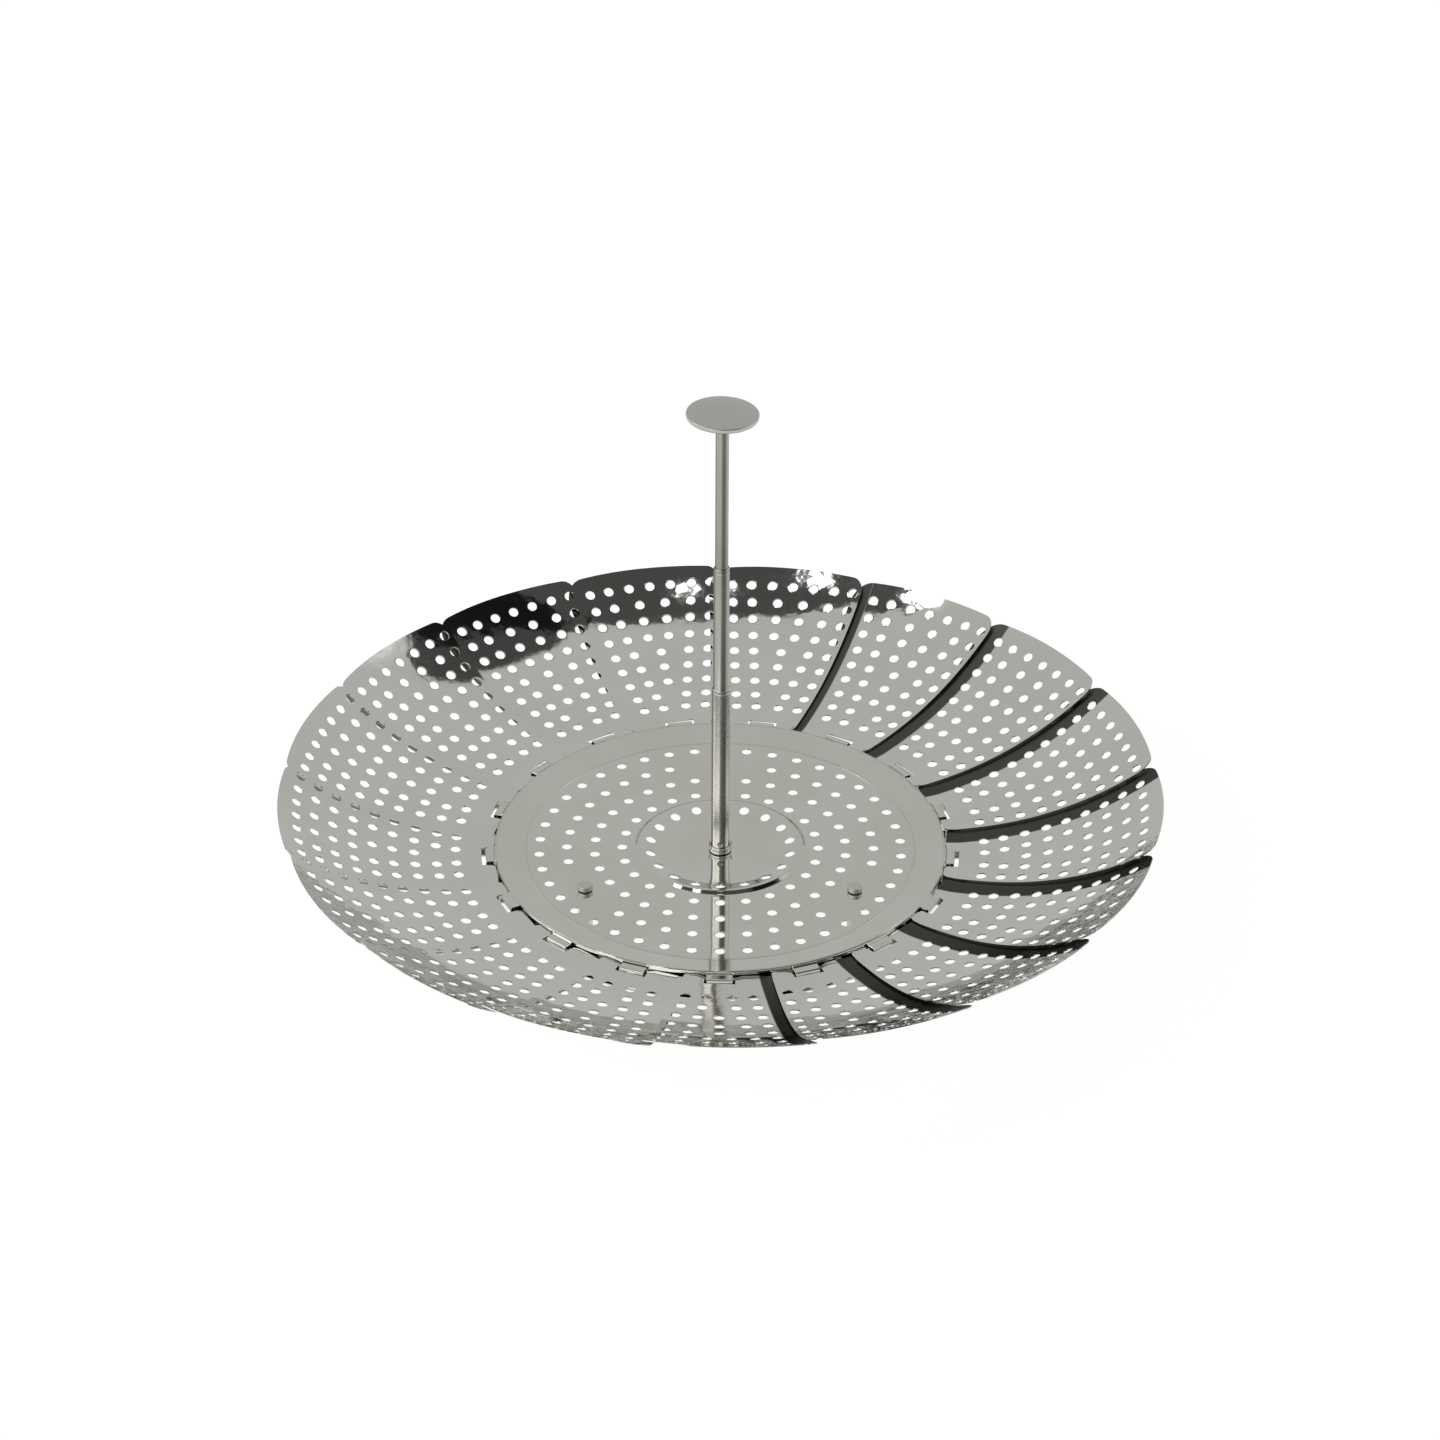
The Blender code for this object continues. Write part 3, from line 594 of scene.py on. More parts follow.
def leaf_inner_end(y):
    return max(sqrt(LEAF_INNER_RADIUS ** 2 - y ** 2) - HINGE_RADIUS, LEAF_INNER_LIMIT)


def corner_drop(distance, radius):
    inside = min(max(distance, 0), radius)
    return radius - sqrt(radius ** 2 - (radius - inside) ** 2)


def leaf_tip(y):
    clockwise, lap = leaf_edges(LEAF_REACH)
    off_centre = y - LEAF_TIP_ARC_OFFSET
    sagitta = LEAF_TIP_ARC_RADIUS - sqrt(LEAF_TIP_ARC_RADIUS ** 2 - off_centre ** 2)
    drop = corner_drop(y - clockwise, LEAF_CLOCKWISE_CORNER) + corner_drop(lap - y, LEAF_LAP_CORNER)
    return LEAF_REACH - sagitta - drop


def leaf_height(x, y):
    from_axis = hypot(HINGE_RADIUS + x, y)
    share = (from_axis - HINGE_RADIUS) / LEAF_REACH
    dish = sum(part * share ** (power + 1) for power, part in enumerate(LEAF_DISH_SHARES))
    lift = LEAF_LIFT_BASE + share * (LEAF_LIFT_TIP - LEAF_LIFT_BASE)
    cup = LEAF_CUP * min(0, y) ** 2 * smooth(x, LEAF_CUP_START, LEAF_CUP_FULL)
    beside_slot = smooth(abs(y), TURN_UP_INSIDE, TURN_UP_OUTSIDE)
    turn_up = TURN_UP_HEIGHT * smooth(-x, 0, TURN_UP_LENGTH) * beside_slot
    return LEAF_RISE * dish - lift * atan2(y, HINGE_RADIUS + x) / LEAF_ANGLE + cup + turn_up


def leaf_slopes(x, y):
    step = 1e-5
    along = leaf_height(x + step, y) - leaf_height(x - step, y)
    across = leaf_height(x, y + step) - leaf_height(x, y - step)
    return along / (2 * step), across / (2 * step)


def leaf_side(side, tip_x):
    """Points out along one side of the leaf: 0 is its clockwise side and 1 its lap side."""
    start = leaf_inner_end(leaf_edges(0)[side]) + LEAF_INNER_CUT
    xs = [start + step / LEAF_SIDE_STEPS * (tip_x - start) for step in range(LEAF_SIDE_STEPS)]
    return [Vector((x, leaf_edges(x)[side])) for x in xs]


def leaf_inner_edge(start, end):
    """Points along the inner end beside the slot, from one y to the other."""
    ys = [start + (end - start) * step / LEAF_INNER_STEPS for step in range(LEAF_INNER_STEPS + 1)]
    return [Vector((leaf_inner_end(y), y)) for y in ys]


def leaf_outline():
    """The leaf's edge in plan: out along the clockwise side, the tip, back in, and the end with the bar."""
    clockwise_tip, lap_tip = leaf_edges(LEAF_REACH)
    width = lap_tip - clockwise_tip
    flat = width - LEAF_CLOCKWISE_CORNER - LEAF_LAP_CORNER
    turns = [pi / 2 * step / LEAF_CORNER_STEPS for step in range(LEAF_CORNER_STEPS)]
    across = [LEAF_CLOCKWISE_CORNER * (1 - cos(turn)) for turn in turns]
    across += [LEAF_CLOCKWISE_CORNER + flat * step / LEAF_TIP_STEPS for step in range(LEAF_TIP_STEPS + 1)]
    across += [width - LEAF_LAP_CORNER * (1 - cos(turn)) for turn in reversed(turns)]
    tip = []
    for y in [clockwise_tip + part for part in across]:
        x = leaf_tip(y)
        low, high = leaf_edges(x)
        tip.append(Vector((x, low + (y - clockwise_tip) / width * (high - low))))
    clockwise = leaf_side(0, tip[0].x)
    lap = leaf_side(1, tip[-1].x)
    notch = SLOT_WIDTH / 2
    bar = [Vector((BAR_INNER_END, y)) for y in (notch - BAR_CORNER, 0, BAR_CORNER - notch)]
    lap_end = leaf_inner_edge(lap[0].y - LEAF_INNER_CUT, notch)
    clockwise_end = leaf_inner_edge(-notch, clockwise[0].y + LEAF_INNER_CUT)
    return clockwise + tip + lap[::-1] + lap_end + bar + clockwise_end


def leaf_hole_centres():
    """Hole middles about the hinge, in rows that are arcs about the post."""
    centres = []
    for row, inner_count in zip(LEAF_ROWS, LEAF_INNER_HOLES):
        outer = LEAF_OUTER_LINE_BASE + (row - LEAF_ROWS[0]) * LEAF_OUTER_LINE_SPREAD
        second = outer - LEAF_SECOND_LINE_INSET
        ys = [-outer, outer, -second, second]
        ys += [second * (2 * (k + 1) / (inner_count + 1) - 1) for k in range(inner_count)]
        centres += [Vector((sqrt(row ** 2 - y ** 2) - HINGE_RADIUS, y)) for y in ys]
    return centres


def leaf_painted_shade(index):
    """How much painted shadow a leaf's top gets by point: a dull, dark strip beside the leaf that laps it,
    for the shade under that leaf's edge. None without a strip.

    The share runs on below 0 and above 1, so that the border stays clean between the points.
    """
    facing = cos(leaf_azimuth(index + 0.5) - SHADED_WIDEST_ANGLE)
    if facing <= 0:
        return None
    width = SHADED_WIDTH * facing ** SHADED_POWER
    turn_back = Matrix.Rotation(-LEAF_ANGLE, 2)

    def painted_shade(point):
        on_lapping_leaf = turn_back @ Vector((HINGE_RADIUS + point.x, point.y))
        to_lap = leaf_edges(on_lapping_leaf.x - HINGE_RADIUS)[0] - on_lapping_leaf.y
        return 0.5 + (width - to_lap) / SHADED_EDGE

    return painted_shade


def leaf_grid(centres):
    """Points between the holes, so that the curved sheet has small triangles."""
    points = []
    row = 0
    x = GRID_PITCH
    while x < LEAF_REACH:
        low, high = leaf_edges(x)
        y = low + GRID_STARTS[row % 2]
        while y < high - GRID_LAP_MARGIN:
            point = Vector((x, y))
            clear = all((point - centre).length > GRID_HOLE_CLEARANCE for centre in centres)
            at_slot = x < SLOT_END + GRID_SLOT_MARGIN and abs(y) < SLOT_WIDTH / 2 + GRID_SLOT_MARGIN
            if clear and not at_slot and x < leaf_tip(y) - GRID_TIP_MARGIN:
                points.append(point)
            y += GRID_PITCH
        x += GRID_ROW_PITCH
        row += 1
    return points


def leaf_flat(holes):
    """The leaf's triangles in plan. holes is a list of (middle, how much the slope shortens it)."""
    loops = [leaf_outline(), rectangle(SLOT_START, SLOT_END, SLOT_WIDTH, SLOT_CORNER)]
    for centre, squeeze in holes:
        loops += hole_circles(centre, squeeze)

    def is_open(middle):
        if SLOT_START < middle.x < SLOT_END and abs(middle.y) < SLOT_WIDTH / 2:
            return True
        for centre, squeeze in holes:
            offset = middle - centre
            if hypot(offset.x / squeeze, offset.y) < HOLE_RADIUS * OPEN_SHARE:
                return True
        return False

    return triangulated(loops, leaf_grid([centre for centre, squeeze in holes]), is_open)


def leaf_rolls(verts, holes):
    """What the holes' rolled edges do to each point beside them."""
    rolls = {}
    for vert in verts:
        for centre, squeeze in holes:
            offset = vert - centre
            roll = hole_roll(offset, hypot(offset.x / squeeze, offset.y))
            if roll:
                rolls[(vert.x, vert.y)] = roll
    return rolls


def make_leaves(material):
    centres = leaf_hole_centres()
    holes = [(centre, 1 / sqrt(1 + leaf_slopes(*centre)[0] ** 2)) for centre in centres]
    flat = leaf_flat(holes)
    rolls = leaf_rolls(flat[0], holes)
    for index in range(LEAF_COUNT):
        azimuth = leaf_azimuth(index)
        turn = Matrix.Rotation(azimuth, 3, "Z")
        hinge = polar(HINGE_RADIUS, azimuth, PLATE_LEVEL + HINGE_HEIGHT)

        def place(x, y):
            along, across = leaf_slopes(x, y)
            drop, lean = rolls.get((x, y), (0, Vector((0, 0))))
            true = Vector((-along, -across, 1)).normalized()
            normal = Vector((-along + lean.x, -across + lean.y, 1)).normalized()
            point = Vector((x, y, leaf_height(x, y))) - true * drop
            return hinge + turn @ point, turn @ normal

        number = f"{index + 1:02d}"
        # The leaf carries a strip of painted shadow beside the leaf that laps it
        leaf = sheet(f"leaf_sheet_{number}", flat, place, LEAF_SHEET, material, leaf_painted_shade(index))
        settle(leaf, f"leaf_{number}", f"leaf_{number}")


# Post

# A tube is its radius, its lower end and its top above the plate, and a foot its radius and length
TUBE_WALL = 0.0003
TUBE_RUNNING_GAP = 0.00005
LOWER_TUBE = (0.00285, SEAT_GAP - WELL_DROP, 0.0587)
MIDDLE_TUBE = (0.00242, 0.0427, 0.1008)
UPPER_TUBE = (0.0020, 0.0928, 0.1500)
MIDDLE_FOOT = (0.0025, 0.0145)
UPPER_FOOT = (0.00207, 0.0065)

# A tube's lip and the neck under it: how far in from the side, how far down and how far the corner is rounded
LIP_OUTLINE = [
    (0.00016, 0, 0.0001),
    (0.00002, 0.000336, 0.00015),
    (0.00002, 0.000744, 0.00012),
    (0.00013, 0.000984, 0.00012),
    (0.00013, 0.0012, 0.00012),
    (0, 0.00162, 0.0002),
]
TUBE_EDGE = 0.00006

# The lower tube's dimple, with rows of points close enough together to be round
DIMPLE_HEIGHT = 0.0036
DIMPLE_RADIUS = 0.00095
DIMPLE_DEPTH = 0.00028
DIMPLE_STEEPNESS = 2.2
DIMPLE_ROWS_REACH = 0.0013
DIMPLE_ROW_PITCH = 0.00016


def lipped_profile(tube, next_radius, foot=None):
    """Outline of a tube: a drawn-in lip with a neck under it and, on an inner tube, a swaged foot."""
    radius, bottom, top = tube
    bore = radius - TUBE_WALL
    profile = [(next_radius + TUBE_RUNNING_GAP, top, TUBE_EDGE)]
    profile += [(radius - inset, top - down, size) for inset, down, size in LIP_OUTLINE]
    if foot is None:
        profile += [(radius, bottom, TUBE_EDGE), (bore, bottom, TUBE_EDGE)]
    else:
        foot_radius, foot_length = foot
        swell = foot_radius - radius
        profile += [
            (radius, bottom + foot_length + swell, 0),
            (foot_radius, bottom + foot_length, 0),
            (foot_radius, bottom, 0),
            (bore + swell, bottom, 0),
            (bore + swell, bottom + foot_length, 0),
        ]
    profile.append((bore, top - LIP_OUTLINE[-1][1], 0))
    return rounded_loop(profile)


def dimple(bm, radius):
    """Presses a small round dimple into the tube's front."""
    middle = Vector((0, -radius, PLATE_LEVEL - WELL_DROP + DIMPLE_HEIGHT))
    for vert in bm.verts:
        if vert.co.y < 0 and abs(vert.co.xy.length - radius) < 1e-5:
            distance = (vert.co - middle).length
            share = max(0, 1 - distance / DIMPLE_RADIUS)
            depth = DIMPLE_DEPTH * min(1, share * DIMPLE_STEEPNESS)
            vert.co -= Vector((vert.co.x, vert.co.y, 0)).normalized() * depth


def with_rows(profile, start, end, radius):
    """Adds points down a tube's straight outer side, from end to start, where it will be dimpled."""
    found = []
    for first, second in zip(profile, profile[1:] + profile[:1]):
        found.append(first)
        down_the_side = abs(first.x - radius) < 1e-7 and abs(second.x - radius) < 1e-7
        if down_the_side and first.y > end and second.y < start:
            count = round((end - start) / DIMPLE_ROW_PITCH)
            found += [(radius, end - (end - start) * k / count) for k in range(count + 1)]
    return found


def make_lower_tube(material):
    radius = LOWER_TUBE[0]
    middle = -WELL_DROP + DIMPLE_HEIGHT
    profile = lipped_profile(LOWER_TUBE, MIDDLE_TUBE[0])
    profile = with_rows(profile, middle - DIMPLE_ROWS_REACH, middle + DIMPLE_ROWS_REACH, radius)
    bm = turned(profile, 2 * TUBE_STEPS, True)
    dimple(bm, radius)
    finish("post_lower", bm, material, "stand", "lower_tube", TUBE_SHARP_ANGLE)


def make_middle_tube(material):
    bm = turned(lipped_profile(MIDDLE_TUBE, UPPER_TUBE[0], MIDDLE_FOOT), TUBE_STEPS, True)
    finish("post_middle", bm, material, "middle_section", "middle_tube", TUBE_SHARP_ANGLE)


def make_upper_tube(material):
    radius, bottom, top = UPPER_TUBE
    bore = radius - TUBE_WALL
    foot_radius, foot_length = UPPER_FOOT
    foot_top = bottom + foot_length
    profile = rounded_loop([
        (bore, top, 0.00005),
        (radius, top, 0.00008),
        (radius, foot_top + foot_radius - radius, 0),
        (foot_radius, foot_top, 0),
        (foot_radius, bottom, 0),
        (bore, bottom, 0),
    ])
    bm = turned(profile, TUBE_STEPS, True)
    finish("post_upper", bm, material, "handle_top", "upper_tube")


KNOB_RADIUS = 0.01085
KNOB_DOME_RADIUS = 0.955 * KNOB_RADIUS
KNOB_DOME_RISE = 0.0011
KNOB_DOME_STEPS = 24
KNOB_EDGE_HEIGHT = 0.0014
KNOB_BOSS_RADIUS = 0.0030
KNOB_BOSS_HEIGHT = 0.0010
KNOB_SPIGOT_RADIUS = 0.0014
KNOB_SPIGOT_LENGTH = 0.0045
KNOB_TILT = radians(1.6)


def make_knob(material):
    """A shallow domed disc with a rolled edge, on a boss and a spigot."""
    dome_foot = KNOB_BOSS_HEIGHT + KNOB_EDGE_HEIGHT
    shares = [step / KNOB_DOME_STEPS for step in range(KNOB_DOME_STEPS + 1)]
    dome = [(KNOB_DOME_RADIUS * share, dome_foot + KNOB_DOME_RISE * (1 - share ** 2)) for share in shares]
    rim = rounded([
        (KNOB_DOME_RADIUS, dome_foot, 0),
        (KNOB_RADIUS, dome_foot - 0.0001, 0.00042),
        (KNOB_RADIUS, KNOB_BOSS_HEIGHT, 0.0004),
        (KNOB_RADIUS - 0.0006, KNOB_BOSS_HEIGHT, 0),
    ])
    stem = rounded([
        (KNOB_RADIUS - 0.0011, KNOB_BOSS_HEIGHT, 0),
        (KNOB_BOSS_RADIUS, KNOB_BOSS_HEIGHT, 0.0003),
        (KNOB_BOSS_RADIUS, 0, 0.0002),
        (KNOB_SPIGOT_RADIUS, 0, 0),
        (KNOB_SPIGOT_RADIUS, -KNOB_SPIGOT_LENGTH, 0.0002),
        (0, -KNOB_SPIGOT_LENGTH, 0),
    ])
    bm = turned(dome + rim[1:] + stem, KNOB_STEPS, False, 0)
    spot = Matrix.Translation(Vector((0, 0, PLATE_LEVEL + UPPER_TUBE[2] + SEAT_GAP)))
    bmesh.ops.transform(bm, matrix=spot @ Matrix.Rotation(KNOB_TILT, 4, "Y"), verts=bm.verts)
    finish("knob_disc", bm, material, "handle_top", "knob")


# Fixing of the post's foot

PLUG_RADIUS = 0.00245
PLUG_HEIGHT = 0.005
WASHER_RADIUS = 0.0055
WASHER_THICKNESS = 0.0008
SCREW_RADIUS = 0.00105
SCREW_HEAD_RADIUS = 0.0036
SCREW_HEAD_HEIGHT = 0.0018
SCREW_CROSS_SIZE = (0.0034, 0.0007, 0.0016)
LOCK_RING_BORE = LOWER_TUBE[0] + 0.0001
LOCK_RING_GROOVE = LOCK_RING_BORE + 0.00016
LOCK_RING_COLLAR = LOCK_RING_BORE + 0.00028
LOCK_RING_FLANGE = LOCK_RING_BORE + 0.00055
PRONG_SIZE = (0.0003, 0.0015, 0.0016)
PRONG_FOOT = 0.0016
PRONG_LEAN = radians(20)
PRONG_EDGE = 0.0001


def make_bored_disc(name, node, material, radius, low, top, sizes):
    """A disc or plug round the screw, with how far each of its four corners is rounded."""
    corners = ((SCREW_BORE_RADIUS, top), (radius, top), (radius, low), (SCREW_BORE_RADIUS, low))
    profile = rounded_loop([(*corner, size) for corner, size in zip(corners, sizes)])
    finish(name, turned(profile, TUBE_STEPS, True), material, "stand", node)


def make_post_plug(material):
    low = SEAT_GAP - WELL_DROP
    sizes = (0.0001, 0.0002, 0.0001, 0.0001)
    make_bored_disc("tube_plug", "post_plug", material, PLUG_RADIUS, low, low + PLUG_HEIGHT, sizes)


def make_post_washer(material):
    top = -WELL_DROP - PLATE_SHEET - SEAT_GAP
    sizes = (0.00008, 0.00012, 0.0002, 0.00015)
    low = top - WASHER_THICKNESS
    make_bored_disc("fixing_washer", "post_washer", material, WASHER_RADIUS, low, top, sizes)


def make_post_screw(material):
    """A round-headed screw, its head under the washer, with a cross pressed into it."""
    seat = -WELL_DROP - PLATE_SHEET - WASHER_THICKNESS - 2 * SEAT_GAP
    end = PLUG_HEIGHT - WELL_DROP
    low = seat - SCREW_HEAD_HEIGHT
    profile = rounded([
        (0, end, 0),
        (SCREW_RADIUS, end, 0.0002),
        (SCREW_RADIUS, seat, 0),
        (SCREW_HEAD_RADIUS, seat, 0.0002),
        (SCREW_HEAD_RADIUS, low + 0.0011, 0.0007),
        (0.0024, low, 0.0008),
        (0, low, 0),
    ])
    screw = shade(new_piece("fixing_screw", turned(profile, TUBE_STEPS, False), material))
    cross = bmesh.new()
    spot = Matrix.Translation(Vector((0, 0, PLATE_LEVEL + low)))
    for turn in (0, pi / 2):
        size = Matrix.Diagonal((*SCREW_CROSS_SIZE, 1))
        bmesh.ops.create_cube(cross, size=1, matrix=spot @ Matrix.Rotation(turn, 4, "Z") @ size)
    cutter = new_piece("cross", cross, material)
    cut = screw.modifiers.new("Cross", "BOOLEAN")
    cut.object = cutter
    cut.solver = "EXACT"
    cut.use_self = True
    depsgraph = bpy.context.evaluated_depsgraph_get()
    mesh = bpy.data.meshes.new_from_object(screw.evaluated_get(depsgraph))
    screw.modifiers.clear()
    screw.data = mesh
    bpy.data.objects.remove(cutter)
    settle(shade(screw), "stand", "post_screw")


def make_lock_ring(material):
    """The pronged ring that grips the tube's end above the plate."""
    low = SEAT_GAP - WELL_DROP
    profile = rounded_loop([
        (LOCK_RING_BORE, low + 0.0020, 0.00006),
        (LOCK_RING_COLLAR, low + 0.0020, 0.0001),
        (LOCK_RING_COLLAR, low + 0.0012, 0.0001),
        (LOCK_RING_GROOVE, low + 0.00105, 0.00005),
        (LOCK_RING_GROOVE, low + 0.00095, 0.00005),
        (LOCK_RING_FLANGE, low + 0.00075, 0.00016),
        (LOCK_RING_FLANGE, low, 0.00014),
        (LOCK_RING_BORE, low, 0.00008),
    ])
    bm = turned(profile, TUBE_STEPS, True)
    root = Matrix.Translation(Vector((LOCK_RING_GROOVE, 0, PLATE_LEVEL + low + PRONG_FOOT)))
    lean = Matrix.Rotation(PRONG_LEAN, 4, "Y")
    raised = Matrix.Translation(Vector((0, 0, PRONG_SIZE[2] / 2)))
    prong = root @ lean @ raised @ Matrix.Diagonal((*PRONG_SIZE, 1))
    for turn in (0, pi):
        made = bmesh.ops.create_cube(bm, size=1, matrix=Matrix.Rotation(turn, 4, "Z") @ prong)
        edges = {edge for vert in made["verts"] for edge in vert.link_edges}
        bmesh.ops.bevel(bm, geom=list(edges), offset=PRONG_EDGE, segments=2, affect="EDGES", profile=0.5)
    finish("pronged_ring", bm, material, "stand", "lock_ring")


# Feet

FOOT_HEAD_RADIUS = 0.00225
FOOT_HEAD_HEIGHT = 0.0016
FOOT_NECK_RADIUS = 0.00115
FOOT_SHOULDER_RADIUS = 0.0030
FOOT_SHOULDER_HEIGHT = 0.0010
FOOT_RADIUS = 0.0022
FOOT_SOLE_RADIUS = 0.0018
FOOT_SOLE_TAPER = 0.0004


def make_feet(material):
    """Turned pegs: a head above the plate, a neck through it, a shoulder under it and the leg."""
    head_top = SEAT_GAP + FOOT_HEAD_HEIGHT
    shoulder = -PLATE_SHEET - SEAT_GAP
    shoulder_end = shoulder - FOOT_SHOULDER_HEIGHT
    sole = -PLATE_SHEET - FOOT_HEIGHT
    profile = rounded([
        (0, head_top, 0),
        (FOOT_HEAD_RADIUS, head_top, 0.0002),
        (FOOT_HEAD_RADIUS, SEAT_GAP, 0.0001),
        (FOOT_NECK_RADIUS, SEAT_GAP, 0),
        (FOOT_NECK_RADIUS, shoulder, 0),
        (FOOT_SHOULDER_RADIUS, shoulder, 0.0001),
        (FOOT_SHOULDER_RADIUS, shoulder_end, 0.0003),
        (FOOT_RADIUS, shoulder_end, 0.0003),
        (FOOT_RADIUS, sole + FOOT_SOLE_TAPER, 0.0002),
        (FOOT_SOLE_RADIUS, sole, 0.0002),
        (0, sole, 0),
    ])
    for index in range(FOOT_COUNT):
        bm = turned(profile, FOOT_STEPS, False)
        bmesh.ops.translate(bm, vec=polar(FOOT_CIRCLE_RADIUS, foot_azimuth(index)), verts=bm.verts)
        finish(f"peg_foot_{index + 1}", bm, material, "stand", f"foot_{index + 1}")


# Materials

class Nodes:
    """Adds nodes to a tree with few words."""

    def __init__(self, tree):
        self.tree = tree

    def add(self, kind, inputs=None, **settings):
        node = self.tree.nodes.new(kind)
        for name, value in settings.items():
            setattr(node, name, value)
        self.fill(node, inputs or {})
        return node

    def fill(self, node, inputs):
        """Links or sets inputs of a node, and leaves one alone whose value is None."""
        for name, value in inputs.items():
            if isinstance(value, bpy.types.NodeSocket):
                self.tree.links.new(value, node.inputs[name])
            elif value is not None:
                node.inputs[name].default_value = value

    def axes(self, vector):
        return self.add("ShaderNodeSeparateXYZ", {"Vector": vector}).outputs

    def math(self, operation, *values):
        return self.add("ShaderNodeMath", dict(enumerate(values)), operation=operation).outputs[0]

    def times(self, first, second):
        return self.math("MULTIPLY", first, second)

    def span(self, value, low, high, to_low=0, to_high=1):
        """Maps a value's range on to another, smoothly and held at the ends."""
        inputs = {"Value": value, "From Min": low, "From Max": high, "To Min": to_low, "To Max": to_high}
        return self.add("ShaderNodeMapRange", inputs, interpolation_type="SMOOTHSTEP").outputs["Result"]

    def noise(self, vector, scale, detail=2, roughness=0.5):
        inputs = {"Vector": vector, "Scale": scale, "Detail": detail, "Roughness": roughness}
        return self.add("ShaderNodeTexNoise", inputs).outputs["Fac"]

    def colours(self, factor, *pair):
        first, second = ((*colour, 1) if isinstance(colour, tuple) else colour for colour in pair)
        return self.add("ShaderNodeMix", {0: factor, 6: first, 7: second}, data_type="RGBA").outputs[2]

    def bump(self, height, distance, normal):
        inputs = {"Height": height, "Distance": distance, "Strength": 1, "Normal": normal}
        return self.add("ShaderNodeBump", inputs).outputs["Normal"]


WHITE = (1.0, 1.0, 1.0)
DULL_AND_SHADE_TINT = (0.2, 0.2, 0.2)
DULL_ROUGHNESS = 0.25
CLOUD_SCALE = 38
CLOUD_SHARE = 0.6
CLOUD_RANGE = (0.35, 0.65)
GRAIN_SCALE = 900
GRAIN_SHARE = 0.4
POLISH_RANGE = (0.3, 0.7)
RIPPLE_FRONT_FADE = (-0.06, 0.03, 1, 0.3)
BAND_COUNT = 4
BAND_ANGLE = radians(18)
BAND_RANGE = (-0.2, 0.9)
BAND_ANISOTROPY = 0.9
BAND_ROTATION = 0.25


def new_material(name):
    material = bpy.data.materials.new(name)
    material.use_nodes = True
    return material, Nodes(material.node_tree)


def steel(name, colours, roughness, waves, ripple=None, painted_band_colour=None, dull_and_shade_colour=None):
    """Stainless steel: clouded colour, uneven polish and waves of the pressed sheet.

    colours and roughness are the two ends between which each varies. waves is a list of (size,
    height). ripple is the radius where a stronger wave starts, the one from which it is full, its
    size and its height. drawn is the colour of darker bands of painted reflection down the tube, and with it
    the polish runs round the tube. dull_and_shade_colour is the dark colour where the sheet is marked dull:
    painted shade on a leaf's strip beside its lapping neighbour, and in part on the cut edges.
    """
    material, n = new_material(name)
    inputs = {"Metallic": 1}
    where = n.add("ShaderNodeTexCoord").outputs["Object"]
    cloud = n.noise(where, CLOUD_SCALE, 3)
    clouded = n.colours(n.span(cloud, *CLOUD_RANGE), *colours)
    grain = n.times(n.noise(where, GRAIN_SCALE), GRAIN_SHARE)
    polish = n.math("ADD", n.times(cloud, CLOUD_SHARE), grain)
    rough = n.span(polish, *POLISH_RANGE, *roughness)
    # Where marked, colour and reflection tint go dark as painted shade, and the sheet gets rougher
    if dull_and_shade_colour:
        marked = n.add("ShaderNodeAttribute", attribute_name="dull_and_shade").outputs["Fac"]
        dull_and_shade = n.span(marked, 0, 1)
        clouded = n.colours(dull_and_shade, clouded, dull_and_shade_colour)
        rough = n.math("ADD", rough, n.times(dull_and_shade, DULL_ROUGHNESS))
        inputs["Specular Tint"] = n.colours(dull_and_shade, WHITE, DULL_AND_SHADE_TINT)
    # Painted reflection: darker bands down the tube in its colour; the polish really runs round it
    if painted_band_colour:
        clouded = n.colours(painted_reflection_bands(n, where), clouded, painted_band_colour)
        inputs["Anisotropic"] = BAND_ANISOTROPY
        inputs["Anisotropic Rotation"] = BAND_ROTATION
        inputs["Tangent"] = n.add("ShaderNodeTangent", direction_type="RADIAL", axis="Z").outputs[0]
    normal = None
    for size, height in waves:
        normal = n.bump(n.noise(where, 1 / size, 1), height, normal)
    if ripple:
        normal = rippled(n, where, normal, *ripple)
    inputs.update({"Base Color": clouded, "Roughness": rough, "Normal": normal})
    n.fill(n.tree.nodes["Principled BSDF"], inputs)
    return material


def painted_reflection_bands(n, where):
    """1 along the darker bands of painted reflection down the tube, by the angle round the post."""
    x, y = n.axes(where)[:2]
    angle = n.math("ARCTAN2", x, n.times(y, -1))
    band = n.math("COSINE", n.times(n.math("SUBTRACT", angle, BAND_ANGLE), BAND_COUNT))
    return n.span(band, *BAND_RANGE)


def rippled(n, where, normal, start, full, size, height):
    """A wave that grows with the radius from the post, and is strongest at the front."""
    x, y = n.axes(where)[:2]
    square = n.math("ADD", n.math("POWER", x, 2), n.math("POWER", y, 2))
    share = n.span(n.math("SQRT", square), start, full)
    front = n.span(y, *RIPPLE_FRONT_FADE)
    wave = n.times(n.noise(where, 1 / size), n.times(share, front))
    return n.bump(wave, height, normal)


